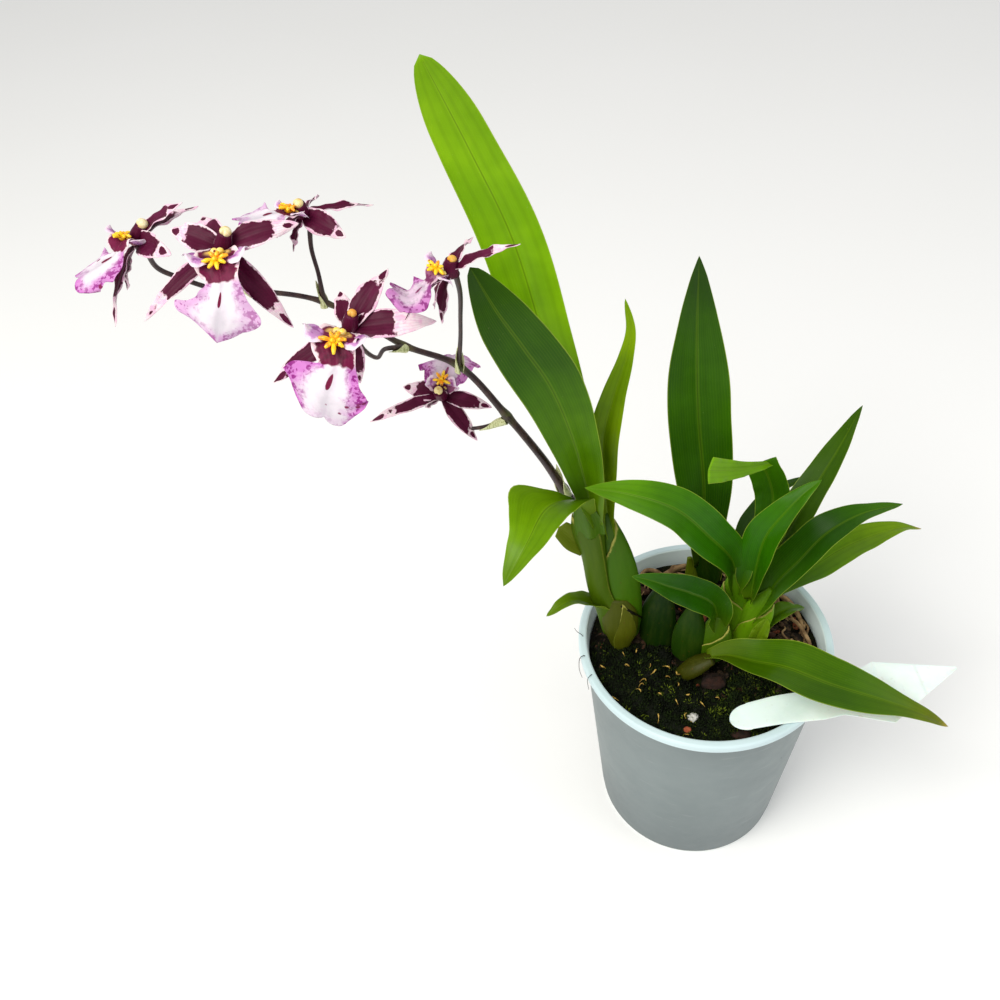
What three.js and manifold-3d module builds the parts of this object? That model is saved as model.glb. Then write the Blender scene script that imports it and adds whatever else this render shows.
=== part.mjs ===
// A potted oncidium orchid: a grey plastic pot filled with bark mix and moss, leafy growths on
// flattened pseudobulbs, an arching flower spike with six blooms, and a blank plastic plant label.
// Millimetres, +Z up. The origin is the middle of the pot's flat underside.
import * as THREE from "three";
import { mergeVertices } from "three/addons/utils/BufferGeometryUtils.js";
import Module from "manifold-3d";

const wasm = await Module();
wasm.setup();

// ---------- driving dimensions ----------
const GAP = 0.3; // clearance between neighbouring pieces
const LEAF_THICK = 0.9;
const TEPAL_THICK = 0.8;

const POT = {
  height: 130,
  rimRadius: 60,
  rimInner: 56,
  rimHeight: 4.5,
  wallTop: 56.8, // outer radius of the wall just under the rim
  wallFoot: 47, // outer radius of the wall at the base
  wall: 1.4,
  floor: 2,
  footRound: 3,
  sides: 32,
  drainHoles: 6,
  drainCircle: 34,
  drainRadius: 4,
};

const MIX = { level: 120.5, dome: 2, relief: 1.5, rings: 5, sectors: 26 };

// The moss cushion covers the front left of the mix. Angles run round the pot from +X.
const MOSS = { thick: 3.4, from: 172, to: 322, inner: 20, sunk: 1.6, rings: 3, sectors: 18 };

// Stations along the blank label: x, front edge y, back edge y, height.
const LABEL = {
  thick: 0.8,
  stations: [
    [2.5, -46.5, -43.5, 127],
    [4, -49, -41, 127.2],
    [8.5, -51.2, -38.2, 128.2],
    [24, -51.5, -37, 131.2],
    [42, -51.5, -36, 131.4],
    [52, -50, -33, 131.2],
    [73, -55, -22.5, 129],
    [92, -41.5, -25, 127.6],
    [111, -28.7, -27.3, 126],
  ],
};

// Pseudobulbs and sheathed stems. `radii` are half widths from foot to top, and `flat` is the
// thickness as a share of the width. The parts of one growth are fused.
const GROWTHS = {
  growth_left: [
    {
      path: [[-40, 7, 108], [-38, 7, 121], [-39, 8, 136], [-42, 9, 150]],
      radii: [5, 9, 9.4, 4],
      flat: [0.6, 0.66, 0.6, 0.5],
      across: -15,
    },
    {
      path: [[-38, 9, 120], [-41, 10, 151], [-47, 11, 182], [-54, 12, 214], [-56, 12, 226]],
      radii: [7, 8.6, 8.2, 6.5, 1.4],
      flat: [0.5, 0.42, 0.4, 0.45, 0.8],
      across: -15,
    },
    {
      path: [[-32, 12, 114], [-31, 15, 141], [-36, 17, 167], [-42, 18, 190], [-47, 18, 208]],
      radii: [5, 7.8, 8, 6, 1.4],
      flat: [0.5, 0.4, 0.34, 0.34, 0.8],
      across: -10,
    },
  ],
  bulb_middle_left: [
    {
      path: [[-22, 4, 106], [-22, 5, 124], [-21, 8, 144], [-18, 11, 160]],
      radii: [6, 9.5, 9, 2],
      flat: [0.45, 0.42, 0.42, 0.6],
      across: -25,
    },
  ],
  bulb_middle_right: [
    {
      path: [[-9, -5, 106], [-9, -5, 123], [-8, -3, 142], [-6, 0, 156]],
      radii: [6, 9, 8.5, 2],
      flat: [0.45, 0.42, 0.42, 0.6],
      across: -25,
    },
  ],
  growth_back: [
    {
      path: [[10, 41, 108], [10, 41, 122], [9, 41, 138], [8, 41, 154]],
      radii: [5.5, 7.5, 7.6, 2],
      flat: [0.5, 0.5, 0.4, 0.5],
      across: 0,
    },
    {
      path: [[3, 39, 110], [2, 39, 126], [0, 40, 142]],
      radii: [3, 3.6, 1.2],
      flat: [0.7, 0.7, 0.7],
      across: 0,
    },
  ],
  growth_right: [
    {
      path: [[17, 0, 108], [17, 1, 124], [14, 1, 144], [11, 1, 160], [9, 0, 176]],
      radii: [4.5, 6.5, 7.5, 6, 1.4],
      flat: [0.7, 0.6, 0.42, 0.36, 0.8],
      across: -10,
    },
    {
      path: [[17, -1, 110], [18, -2, 126], [20, -4, 142], [23, -5, 158], [26, -5, 168]],
      radii: [4, 6.5, 7, 6.5, 1.4],
      flat: [0.7, 0.6, 0.42, 0.36, 0.8],
      across: -30,
    },
  ],
  growth_low_front: [
    {
      path: [[2, -5, 110], [2, -5, 124], [3, -5, 138], [4, -5, 152]],
      radii: [3.5, 5.8, 7.4, 2],
      flat: [0.75, 0.75, 0.62, 0.6],
      across: -15,
    },
  ],
  bulb_front: [
    {
      path: [[-19, -14, 115], [-14, -15, 122], [-7, -16, 130], [0, -16, 135]],
      radii: [3, 5.6, 6.4, 3.4],
      flat: [0.8, 0.8, 0.7, 0.6],
      across: 70,
    },
  ],
};

// Each leaf: its midrib from root to tip, its widths spread evenly along it, the compass direction
// across it, its roll along the midrib and how sharply its halves fold up.
const LEAVES = {
  leaf_tall: {
    path: [[-50, 13, 205], [-61, 16, 258], [-70, 19, 301], [-79, 22, 341], [-91, 25, 373], [-103, 26, 403]],
    widths: [13, 17, 21.5, 22.5, 22.5, 20, 13],
    across: 0,
    roll: [0, -4, -8],
    fold: [50, 20, 12, 10],
    rounded: 0.14,
    stations: 13,
  },
  leaf_tall_front: {
    path: [[-51, 9, 207], [-61, 4, 261], [-69.5, 0, 292], [-79, -4, 314], [-87, -6, 331], [-94, -3, 346]],
    widths: [11, 15, 19.5, 23, 24, 20, 12],
    across: 10,
    roll: [0, 6, 10],
    fold: [50, 24, 14, 12],
    rounded: 0.16,
    stations: 12,
  },
  leaf_narrow: {
    path: [[-46, 14, 208], [-47, 15, 249], [-43, 18, 269], [-38, 22, 284], [-36, 25, 295], [-38, 28, 307]],
    widths: [9, 12, 14, 13, 9, 5, 1.5],
    across: -15,
    roll: [0, -5, -10],
    fold: [50, 30, 20, 10],
    stations: 10,
  },
  leaf_drooping: {
    path: [[-54, 7, 215], [-64, -2, 234], [-74, -12, 239.5], [-83, -28, 238], [-93, -38, 227]],
    widths: [10, 14, 23, 25.5, 19.5, 9.5, 1.5],
    across: 139,
    roll: [0, 0],
    fold: [40, 15, 10],
    stations: 11,
  },
  leaf_low_left: {
    path: [[-46, 13, 142], [-55, 9, 153], [-64, 5, 160], [-75, 0, 157]],
    widths: [5, 8, 8.5, 6, 1.5],
    across: 110,
    roll: [10, 0],
    fold: [30, 12],
    stations: 7,
  },
  leaf_back: {
    path: [[8, 41, 138], [3.5, 42, 191], [-2.5, 42, 236], [-6.5, 41, 280], [-9, 38, 316]],
    widths: [15, 21, 27, 28, 26, 16, 2],
    across: 2,
    roll: [0, 0],
    fold: [35, 14, 10, 8],
    stations: 11,
  },
  leaf_arching: {
    path: [[11, 1, 161], [8, -1, 184], [-5, -4, 206], [-21, -6, 227], [-40, -7, 239], [-58, -8, 246]],
    face: [0, -0.6, 0.8],
    widths: [5, 16, 19, 20, 18, 12, 1.5],
    roll: [0, 0],
    fold: [25, 22, 14, 10],
    stations: 12,
  },
  leaf_bent_tip: {
    path: [[22, 11, 168], [24, 13, 198], [24, 13, 213], [17, 9, 227], [4, 1, 237], [-11, -11, 246]],
    face: [0.2, -0.7, 0.7],
    widths: [10, 15, 17, 15, 9, 10, 7],
    roll: [0, 0],
    fold: [45, 25, 14, 10],
    stations: 12,
  },
  leaf_inner_right: {
    path: [[18, -3.5, 160], [17.5, -5, 187], [19, -6, 206], [25, -6, 219], [32, -4, 227], [39, -2, 232]],
    widths: [10, 15, 18, 18.5, 15, 9.5, 1.5],
    across: -60,
    roll: [0, 0],
    fold: [45, 22, 14],
    stations: 10,
  },
  leaf_upper_right: {
    path: [[17, 3, 146], [24, 6, 162], [38, 15, 187], [49, 24, 202], [59, 31, 218], [67, 36, 236]],
    widths: [6, 13, 18, 18, 15, 9.5, 1.5],
    across: -60,
    roll: [0, 0],
    fold: [45, 22, 16],
    stations: 10,
  },
  leaf_right: {
    path: [[21, -4, 146], [28, -5, 172], [36, -4, 184], [47, -1, 197.5], [62, 3, 203.5], [82, 8, 202]],
    widths: [12, 18, 21, 20, 16, 8.5, 1.5],
    across: -75,
    roll: [0, 0],
    fold: [45, 22, 14],
    stations: 11,
  },
  leaf_far_right: {
    path: [
      [21, 0, 139], [30, 8, 147], [54, 18, 153], [70, 25, 156], [88, 31, 157], [100, 34, 156.5],
      [112, 36, 152],
    ],
    widths: [6, 14, 20, 20, 17, 9, 1.5],
    across: -60,
    roll: [0, 0],
    fold: [40, 18, 14],
    stations: 11,
  },
  leaf_behind: {
    path: [[20, 30, 122], [23, 31, 165], [33, 32, 190], [49, 34, 198]],
    widths: [6, 11, 12, 9, 1.5],
    across: -90,
    roll: [0, 0],
    fold: [40, 18],
    stations: 8,
  },
  leaf_low_front: {
    path: [[4, -5, 142], [0, -7, 163], [-12, -11, 178], [-23, -15, 189], [-32, -18, 198], [-40, -20, 204]],
    face: [0, -0.6, 0.8],
    widths: [13, 15, 16, 15.5, 13, 8, 1.5],
    roll: [0, 0],
    fold: [45, 18, 12],
    stations: 10,
  },
  leaf_small_right: {
    path: [[23, -3, 132], [30, -2, 142], [38, 1, 144], [48, 5, 139]],
    widths: [6, 8, 7.5, 5, 1.5],
    across: -75,
    roll: [0, 0],
    fold: [35, 12],
    stations: 7,
  },
  bract_right: {
    path: [[21, -9, 130], [22, -10, 142], [25, -9, 152]],
    widths: [4, 8, 8, 5],
    across: -15,
    roll: [0, 0],
    fold: [20, 20],
    rounded: 0.25,
    stations: 6,
  },
  leaf_front: {
    path: [
      [-2.4, -15.6, 135.2], [6, -19, 140], [16, -27, 145], [27, -35, 150], [44, -45, 149],
      [65, -51, 143], [82, -54, 135], [98, -55, 122],
    ],
    widths: [10, 17, 24, 28, 25, 19.5, 11.5, 6, 1.5],
    across: -125,
    roll: [0, 0],
    fold: [40, 18, 12, 12],
    stations: 12,
  },
};

// The spike's stem, the stalks of its blooms and the pale sheaths at its joints. The stem ends at
// the foot of bloom 1, and each stalk at the foot of the bloom of its number.
const SPIKE = {
  stem: {
    path: [
      [-45, 19, 180], [-56, 18, 204], [-64, 16, 222], [-72, 13, 243], [-86, 12, 270], [-102, 14, 294],
      [-121, 16, 304], [-147, 20, 323], [-168, 24, 327], [-186, 30, 326], [-198, 33, 330],
      [-204, 31, 336],
    ],
    radii: [2.2, 2, 1.7, 1.3, 1, 0.9],
    sides: 6,
    stations: 26,
  },
  stalks: {
    2: [[-172, 25, 326], [-176, 20, 336], [-173, 11, 348]],
    3: [[-147, 20, 322], [-147, 22, 333], [-148, 25, 342]],
    4: [[-120, 16, 303], [-127, 8, 309], [-129, -2, 313], [-132, -9, 322]],
    5: [[-102, 14, 294], [-100, 8, 310], [-99, 2, 323], [-98, -5, 338]],
    6: [[-86, 12, 268], [-94, 14, 263], [-103, 17, 261], [-108, 21, 264]],
  },
  stalkRadii: [1.2, 0.9, 1],
  sheaths: [
    [[-64, 14, 221], [-68, 12, 240]],
    [[-86, 10, 267], [-93, 11, 266]],
    [[-101, 11, 294], [-101, 8, 306]],
    [[-146, 19, 321], [-148, 20, 328]],
  ],
};

// Each bloom: the heart it grows from, the way it faces, the tips of its five tepals with their
// widths, the path of its lip, and the top of its column. All in the plant's own frame.
const BLOOMS = {
  1: {
    at: [-205, 24, 351],
    face: [-0.6, -0.3, 0.75],
    tips: [
      [-187, 27, 362, 6], [-184, 33, 357, 6], [-190, 8, 354, 8.5], [-216, 6, 330, 6],
      [-213, 20, 335, 6],
    ],
    lip: [[-206, 23, 350], [-208, 18, 355], [-210, 13, 353], [-216, 10, 351], [-224, 8, 348]],
    cap: [-201, 24, 358],
  },
  2: {
    at: [-172, 4, 357],
    face: [-0.1, -0.6, 0.8],
    tips: [
      [-180, 20, 360, 8], [-189, 12, 361, 10], [-147, 8, 361, 9], [-201, -6, 339, 7.5],
      [-153, -10, 334, 8],
    ],
    lip: [[-173, 2, 357], [-172, -6, 358], [-171, -12, 354], [-173, -16, 347], [-177, -16, 335]],
    cap: [-169, 3, 364],
  },
  3: {
    at: [-148, 26, 354],
    face: [-0.55, -0.3, 0.8],
    tips: [
      [-144, 40, 353, 6], [-125, 32, 352, 6], [-134, 14, 351, 8.5], [-154, 17, 341, 6],
      [-162, 30, 341, 6],
    ],
    lip: [[-149, 25, 355], [-153, 21, 358], [-156, 18, 360], [-161, 16, 359], [-167, 12, 360]],
    cap: [-149, 24, 360],
  },
  4: {
    at: [-134, -16, 336],
    face: [-0.1, -0.65, 0.75],
    tips: [
      [-137, -2, 341, 6.5], [-120, -4, 349, 8.5], [-106, -18, 337, 9.5], [-162, -20, 320, 6.5],
      [-134, -18, 315, 7],
    ],
    lip: [[-136, -18, 336], [-138, -26, 338], [-138, -32, 334], [-142, -36, 326], [-146, -34, 313]],
    cap: [-132, -17, 343],
  },
  5: {
    at: [-100, -12, 351],
    face: [-0.6, -0.35, 0.75],
    tips: [
      [-92, 2, 354, 6], [-78, -18, 362, 6], [-117, -24, 342, 5], [-107, -7, 334, 6],
      [-105, -18, 336, 8],
    ],
    lip: [[-102, -14.6, 351.4], [-105, -18, 356], [-108, -22, 353], [-113, -22, 348], [-119, -20, 354]],
    cap: [-99, -12, 356],
  },
  6: {
    at: [-110, 22, 274],
    face: [-0.2, -0.55, 0.8],
    tips: [
      [-125, 26, 277, 8], [-139, 16, 269, 5], [-98, 14, 256, 6.5], [-91, 18, 269, 6.5],
      [-118, 31, 262, 6],
    ],
    lip: [[-109, 22, 276], [-109, 22, 282], [-107, 26, 284], [-105, 34, 285], [-104, 43, 284]],
    cap: [-111, 17, 281],
  },
};
const LIP_WIDTHS = [5, 13, 14.5, 10, 17, 28, 29, 21, 10];
const LIP_LENGTH = 37; // a lip of this length has the widths above
const OVARY = 3; // the ovary reaches this far behind the heart
const CREST_RADII = [1, 2.9, 1.5, 2.9, 1.3, 1.9, 0.8]; // the crest is a ridge of blunt teeth

const FINISH = {
  pot: ["#a9b0b1", 0.42],
  mix: ["#241a12", 0.95],
  moss: ["#1f2e10", 0.95],
  growth: ["#5d7a1c", 0.5],
  leaf: ["#4d8a12", 0.4],
  spike: ["#2b1a17", 0.5],
  tepals: ["#5a1234", 0.5],
  lip: ["#f0dcec", 0.5],
  crest: ["#f2a516", 0.5],
  cap: ["#f0dc9a", 0.5],
  label: ["#f2f7f5", 0.5],
};

// ---------- solids ----------
function solid(geometry) {
  const bare = geometry.index ? geometry.toNonIndexed() : geometry;
  const points = new THREE.BufferGeometry();
  points.setAttribute("position", bare.getAttribute("position"));
  const merged = mergeVertices(points, 1e-4);
  const mesh = new wasm.Mesh({
    numProp: 3,
    vertProperties: merged.attributes.position.array,
    triVerts: new Uint32Array(merged.index.array),
  });
  return new wasm.Manifold(mesh);
}

function geometryOf(manifold) {
  const mesh = manifold.getMesh();
  const geometry = new THREE.BufferGeometry();
  geometry.setAttribute("position", new THREE.BufferAttribute(mesh.vertProperties, 3));
  geometry.setIndex(new THREE.BufferAttribute(mesh.triVerts, 1));
  return geometry;
}

const union = (solids) => wasm.Manifold.union(solids);

const largest = (manifold) => manifold.decompose().sort((a, b) => b.volume() - a.volume())[0];

// Closes a stack of rings of points, all of one length, into a solid's geometry. Every quad is
// split along the same diagonal.
function skin(rings) {
  const around = rings[0].length;
  const position = [];
  const put = (...points) => points.forEach((p) => position.push(p.x, p.y, p.z));
  for (let i = 0; i + 1 < rings.length; i++) {
    for (let j = 0; j < around; j++) {
      const k = (j + 1) % around;
      const [a, b, c, d] = [rings[i][j], rings[i][k], rings[i + 1][k], rings[i + 1][j]];
      put(a, b, c, a, c, d);
    }
  }
  const cap = (ring, flip) => {
    const centre = new THREE.Vector3();
    ring.forEach((p) => centre.addScaledVector(p, 1 / around));
    ring.forEach((p, j) => {
      const q = ring[(j + 1) % around];
      if (flip) put(centre, q, p);
      else put(centre, p, q);
    });
  };
  cap(rings[0], true);
  cap(rings[rings.length - 1], false);
  const geometry = new THREE.BufferGeometry();
  geometry.setAttribute("position", new THREE.Float32BufferAttribute(position, 3));
  return geometry;
}

const radians = THREE.MathUtils.degToRad;
const lerp = THREE.MathUtils.lerp;
const vector = (p) => new THREE.Vector3(...p);

// A smooth curve through a list of values spread evenly from 0 to 1.
function along(list, s) {
  const last = list.length - 1;
  const i = Math.min(Math.floor(s * last), last - 1);
  const x = s * last - i;
  const [b, c] = [list[i], list[i + 1]];
  const a = list[i - 1] ?? 2 * b - c;
  const d = list[i + 2] ?? 2 * c - b;
  return b + 0.5 * x * (c - a + x * (2 * a - 5 * b + 4 * c - d + x * (3 * (b - c) + d - a)));
}

const curveOf = (points) => new THREE.CatmullRomCurve3(points.map(vector), false, "centripetal");

const compass = (degrees) =>
  new THREE.Vector3(Math.cos(radians(degrees)), Math.sin(radians(degrees)), 0);

// A place on a curve with its tangent t, the direction b across and the face's normal n. The face
// looks towards `face`, or b is `side`, or else b is the level direction `across`.
function frameAt(curve, s, { across = 0, face, side, roll = [0, 0] }) {
  const t = curve.getTangentAt(s);
  const b = side?.clone() ?? (face ? t.clone().cross(vector(face)) : compass(across));
  b.addScaledVector(t, -b.dot(t)).normalize();
  b.applyAxisAngle(t, radians(along(roll, s)));
  return { p: curve.getPointAt(s), t, b, n: new THREE.Vector3().crossVectors(b, t) };
}

// A thin blade along a midrib: a leaf, a tepal or a lip.
function blade(spec, grow = 0) {
  const { path, widths, fold = [20, 8], stations = 12, lanes = [-1, 0, 1] } = spec;
  const { thick = LEAF_THICK, rounded = 0.06, wave = 0, notch = 0 } = spec;
  const curve = curveOf(path);
  const rings = [];
  for (let i = 0; i <= stations; i++) {
    const u = i / stations;
    const s = u * (1.3 - 0.3 * u); // closer stations towards the tip
    const { p, t, b, n } = frameAt(curve, s, spec);
    const angle = radians(along(fold, s));
    const tip = Math.max(0, (s - 1 + rounded) / rounded);
    const half = (along(widths, s) / 2) * Math.max(0.15, Math.sqrt(1 - tip * tip));
    const place = (x, side) => {
      const ripple = wave * x * x * Math.sin(11 * s + (x > 0 ? 1.3 : 0));
      return p
        .clone()
        .addScaledVector(b, x * half * Math.cos(angle) + Math.sign(x) * grow)
        .addScaledVector(n, Math.abs(x) * half * Math.sin(angle) + ripple)
        .addScaledVector(n, side * (thick / 2 + grow))
        .addScaledVector(t, notch * Math.abs(x) * THREE.MathUtils.smoothstep(s, 0.6, 1));
    };
    const top = lanes.map((x) => place(x, 1));
    const under = lanes.map((x) => place(x, -1)).reverse();
    rings.push([...top, ...under]);
  }
  return solid(skin(rings));
}

// A round or flattened stem along a path.
function stem(spec, grow = 0) {
  const { path, radii, flat = [1, 1], sides = 8, stations = 6 } = spec;
  const curve = curveOf(path);
  const rings = [];
  for (let i = 0; i <= stations; i++) {
    const s = i / stations;
    const { p, b, n } = frameAt(curve, s, spec);
    const wide = along(radii, s);
    const deep = wide * along(flat, s);
    const point = (_, k) => {
      const a = (-k / sides) * 2 * Math.PI;
      return p
        .clone()
        .addScaledVector(b, (wide + grow) * Math.cos(a))
        .addScaledVector(n, (deep + grow) * Math.sin(a));
    };
    rings.push(Array.from({ length: sides }, point));
  }
  return solid(skin(rings));
}

// ---------- pot ----------
const shoulder = POT.height - POT.rimHeight;
const wallRadius = (z) => lerp(POT.wallFoot, POT.wallTop, z / shoulder);

function pot() {
  const { height, rimRadius, rimInner, wall, floor, footRound, wallFoot } = POT;
  const profile = [[0, 0]];
  for (let k = 0; k <= 3; k++) {
    const a = (k / 3) * (Math.PI / 2);
    profile.push([
      wallFoot - footRound * (1 - Math.sin(a)),
      footRound * (1 - Math.cos(a)),
    ]);
  }
  profile.push([wallRadius(shoulder), shoulder], [rimRadius - 0.6, shoulder + 0.3]);
  profile.push([rimRadius, shoulder + 1.2], [rimRadius, height - 1.4]);
  profile.push([rimRadius - 1.2, height - 0.2], [rimInner + 1, height], [rimInner, height - 0.8]);
  profile.push([wallRadius(shoulder) - wall, shoulder - 1]);
  profile.push([wallRadius(floor) - wall, floor + 1], [wallRadius(floor) - wall - 1, floor]);
  profile.push([0, floor]);
  const outline = profile.map(([r, z]) => new THREE.Vector2(r, z));
  const shell = new THREE.LatheGeometry(outline, POT.sides).rotateX(Math.PI / 2);
  const holes = Array.from({ length: POT.drainHoles }, (_, k) => {
    const a = ((k + 0.5) / POT.drainHoles) * 2 * Math.PI;
    const drill = new THREE.CylinderGeometry(POT.drainRadius, POT.drainRadius, 3 * floor, 10);
    drill.rotateX(Math.PI / 2);
    drill.translate(POT.drainCircle * Math.cos(a), POT.drainCircle * Math.sin(a), floor / 2);
    return solid(drill);
  });
  return solid(shell).subtract(union(holes));
}

// ---------- bark mix and moss ----------
// The height of the mix: a low dome with lumps of bark.
function mixHeight(x, y) {
  const r = Math.hypot(x, y) / POT.rimInner;
  const lumps =
    Math.sin(0.33 * x + 1.7) * Math.cos(0.29 * y + 0.6) +
    0.5 * Math.sin(0.61 * x - 0.37 * y) * Math.cos(0.53 * y + 0.9);
  return MIX.level + MIX.dome * (1 - r * r) + MIX.relief * lumps * (1 - r ** 6);
}

function mix() {
  const bottom = POT.floor + GAP;
  const edge = (z) => wallRadius(z) - POT.wall - GAP - 0.3;
  const ring = (r, z) =>
    Array.from({ length: MIX.sectors }, (_, k) => {
      const a = (k / MIX.sectors) * 2 * Math.PI;
      const [x, y] = [r * Math.cos(a), r * Math.sin(a)];
      return new THREE.Vector3(x, y, z ?? mixHeight(x, y));
    });
  const rings = [ring(edge(bottom) - 2, bottom), ring(edge(bottom + 3), bottom + 3)];
  const rim = edge(MIX.level - 3);
  for (let k = MIX.rings; k >= 1; k--) rings.push(ring((rim * k) / MIX.rings));
  return solid(skin(rings));
}

// A cushion of moss sunk a little into the mix.
function moss(grow = 0) {
  const { thick, from, to, inner, sunk, sectors } = MOSS;
  const outer = wallRadius(MIX.level) - POT.wall - 0.8;
  const rings = [];
  for (let k = 0; k <= sectors; k++) {
    const u = k / sectors;
    const a = radians(lerp(from, to, u)) + (u - 0.5) * grow * 0.04;
    const waver = 1 + 0.14 * Math.sin(3.1 * a) + 0.1 * Math.sin(7.3 * a);
    const ends = Math.min(1, 4 * Math.min(u, 1 - u) + 0.15);
    const top = [];
    const under = [];
    for (let m = 0; m <= MOSS.rings; m++) {
      const v = m / MOSS.rings;
      const r = lerp(inner * waver - grow, outer + grow, v);
      const [x, y] = [r * Math.cos(a), r * Math.sin(a)];
      const swell = Math.sin(Math.PI * (0.12 + 0.8 * v)) * ends;
      const tuft = 0.8 + 0.2 * Math.sin(0.9 * x + 2) * Math.sin(0.7 * y + 1);
      const z = mixHeight(x, y);
      top.push(new THREE.Vector3(x, y, z + thick * swell * tuft + grow));
      under.push(new THREE.Vector3(x, y, z - sunk - grow));
    }
    rings.push([...top, ...under.reverse()]);
  }
  return solid(skin(rings));
}

// ---------- label ----------
function label(grow = 0) {
  const half = LABEL.thick / 2 + grow;
  const rings = LABEL.stations.map(([x, front, back, z]) => [
    new THREE.Vector3(x, back + grow, z + half),
    new THREE.Vector3(x, front - grow, z + half),
    new THREE.Vector3(x, front - grow, z - half),
    new THREE.Vector3(x, back + grow, z - half),
  ]);
  return solid(skin(rings));
}

// ---------- flower spike ----------
// A point behind the heart of a bloom.
function behind({ at, face }, distance) {
  return vector(at).addScaledVector(vector(face).normalize(), -distance);
}

// Where a stalk ends: just clear of the bloom's ovary.
const footOf = (bloom) => behind(bloom, OVARY + GAP).toArray();

function spike(grow = 0) {
  const stemPath = [...SPIKE.stem.path, footOf(BLOOMS[1])];
  const parts = [stem({ ...SPIKE.stem, path: stemPath }, grow)];
  for (const [number, points] of Object.entries(SPIKE.stalks)) {
    const path = [...points, footOf(BLOOMS[number])];
    parts.push(stem({ path, radii: SPIKE.stalkRadii, sides: 5, stations: 6 }, grow));
  }
  for (const [from, to] of SPIKE.sheaths) {
    const middle = from.map((value, axis) => (value + to[axis]) / 2);
    const path = [from, middle, to];
    parts.push(stem({ path, radii: [2, 2.1, 0.5], sides: 5, stations: 3 }, grow));
  }
  return union(parts);
}

// ---------- blooms ----------
function tepal({ at, face }, [x, y, z, width], grow) {
  const heart = vector(at);
  const tip = new THREE.Vector3(x, y, z);
  const length = heart.distanceTo(tip);
  const rise = vector(face).multiplyScalar(0.08 * length);
  const near = heart.clone().lerp(tip, 0.35).add(rise);
  const far = heart.clone().lerp(tip, 0.7).add(rise);
  return blade(
    {
      path: [heart, near, far, tip].map((p) => p.toArray()),
      widths: [0.4 * width, 0.85 * width, width, 0.8 * width, 0.2 * width],
      face,
      fold: [25, 12, 8],
      thick: TEPAL_THICK,
      stations: 4,
    },
    grow,
  );
}

// The column stands on the heart of the bloom, with the ovary behind it.
function column({ at, face, cap }, grow) {
  const heart = vector(at);
  const top = heart.clone().lerp(vector(cap), 0.8);
  const path = [behind({ at, face }, OVARY), heart, top].map((p) => p.toArray());
  return stem({ path, radii: [1.3, 2.6, 1.8], sides: 7, stations: 4 }, grow);
}

// The direction across a lip is the same all along it.
function lipSide({ lip: path, face }) {
  const chord = vector(path[path.length - 1]).sub(vector(path[0]));
  return chord.cross(vector(face)).normalize();
}

function lip(bloom, grow) {
  const scale = curveOf(bloom.lip).getLength() / LIP_LENGTH;
  return blade(
    {
      path: bloom.lip,
      side: lipSide(bloom),
      widths: LIP_WIDTHS.map((width) => width * scale),
      fold: [14, 6, -6, -12, -14],
      thick: TEPAL_THICK,
      rounded: 0.15,
      wave: 0.8,
      notch: 2 * scale,
      stations: 9,
      lanes: [-1, -0.5, 0, 0.5, 1],
    },
    grow,
  );
}

// The toothed crest stands on the lip in front of the column.
function crest(bloom) {
  const curve = curveOf(bloom.lip);
  const side = lipSide(bloom);
  const path = [0.08, 0.16, 0.24, 0.32].map((s) => {
    const { p, n } = frameAt(curve, s, { side });
    return p.addScaledVector(n, 2).toArray();
  });
  return stem({ path, side, radii: CREST_RADII, flat: [0.6, 0.6], sides: 6, stations: 6 });
}

const cap = ({ cap: [x, y, z] }) => solid(new THREE.IcosahedronGeometry(2.3).translate(x, y, z));

// ---------- assembly ----------
const plant = new THREE.Group();
const standing = []; // pieces already placed, with the gap round them

// True where the boxes round two solids overlap.
function close(one, other) {
  const [a, b] = [one.boundingBox(), other.boundingBox()];
  return a.min.every((low, axis) => low < b.max[axis] && b.min[axis] < a.max[axis]);
}

// Adds a piece, trimmed clear of every piece placed before it.
function add(name, slot, make) {
  const whole = make(0);
  const neighbours = standing.filter((other) => close(whole, other));
  const made = largest(neighbours.reduce((piece, other) => piece.subtract(other), whole));
  const [color, roughness] = FINISH[slot];
  const material = new THREE.MeshStandardMaterial({ color, roughness, metalness: 0 });
  const mesh = new THREE.Mesh(geometryOf(made), material);
  mesh.name = name;
  plant.add(mesh);
  standing.push(make(GAP), made);
}

for (const [name, stems] of Object.entries(GROWTHS)) {
  add(name, "growth", (grow) => union(stems.map((spec) => stem(spec, grow))));
}
add("flower_spike", "spike", spike);
for (const [name, spec] of Object.entries(LEAVES)) add(name, "leaf", (grow) => blade(spec, grow));
for (const [number, bloom] of Object.entries(BLOOMS)) {
  const tepals = (grow) =>
    union([column(bloom, grow), ...bloom.tips.map((tip) => tepal(bloom, tip, grow))]);
  add(`bloom_${number}_tepals`, "tepals", tepals);
  add(`bloom_${number}_cap`, "cap", () => cap(bloom));
  add(`bloom_${number}_lip`, "lip", (grow) => lip(bloom, grow));
  add(`bloom_${number}_crest`, "crest", () => crest(bloom));
}
add("plant_label", "label", label);
add("moss", "moss", moss);
add("bark_mix", "mix", mix);
add("pot", "pot", pot);

export default plant;
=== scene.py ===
# %% [markdown]
# # A potted oncidium orchid
# The plant stands in a grey plastic pot: leaves on flattened bulbs, a leaning spike with six blooms, a bed of
# bark and moss, and a blank label. The frame gives the plain solids in their places. Each solid is replaced
# here by a finer piece of the same form, and small things that grow or lie on it are added.

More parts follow.
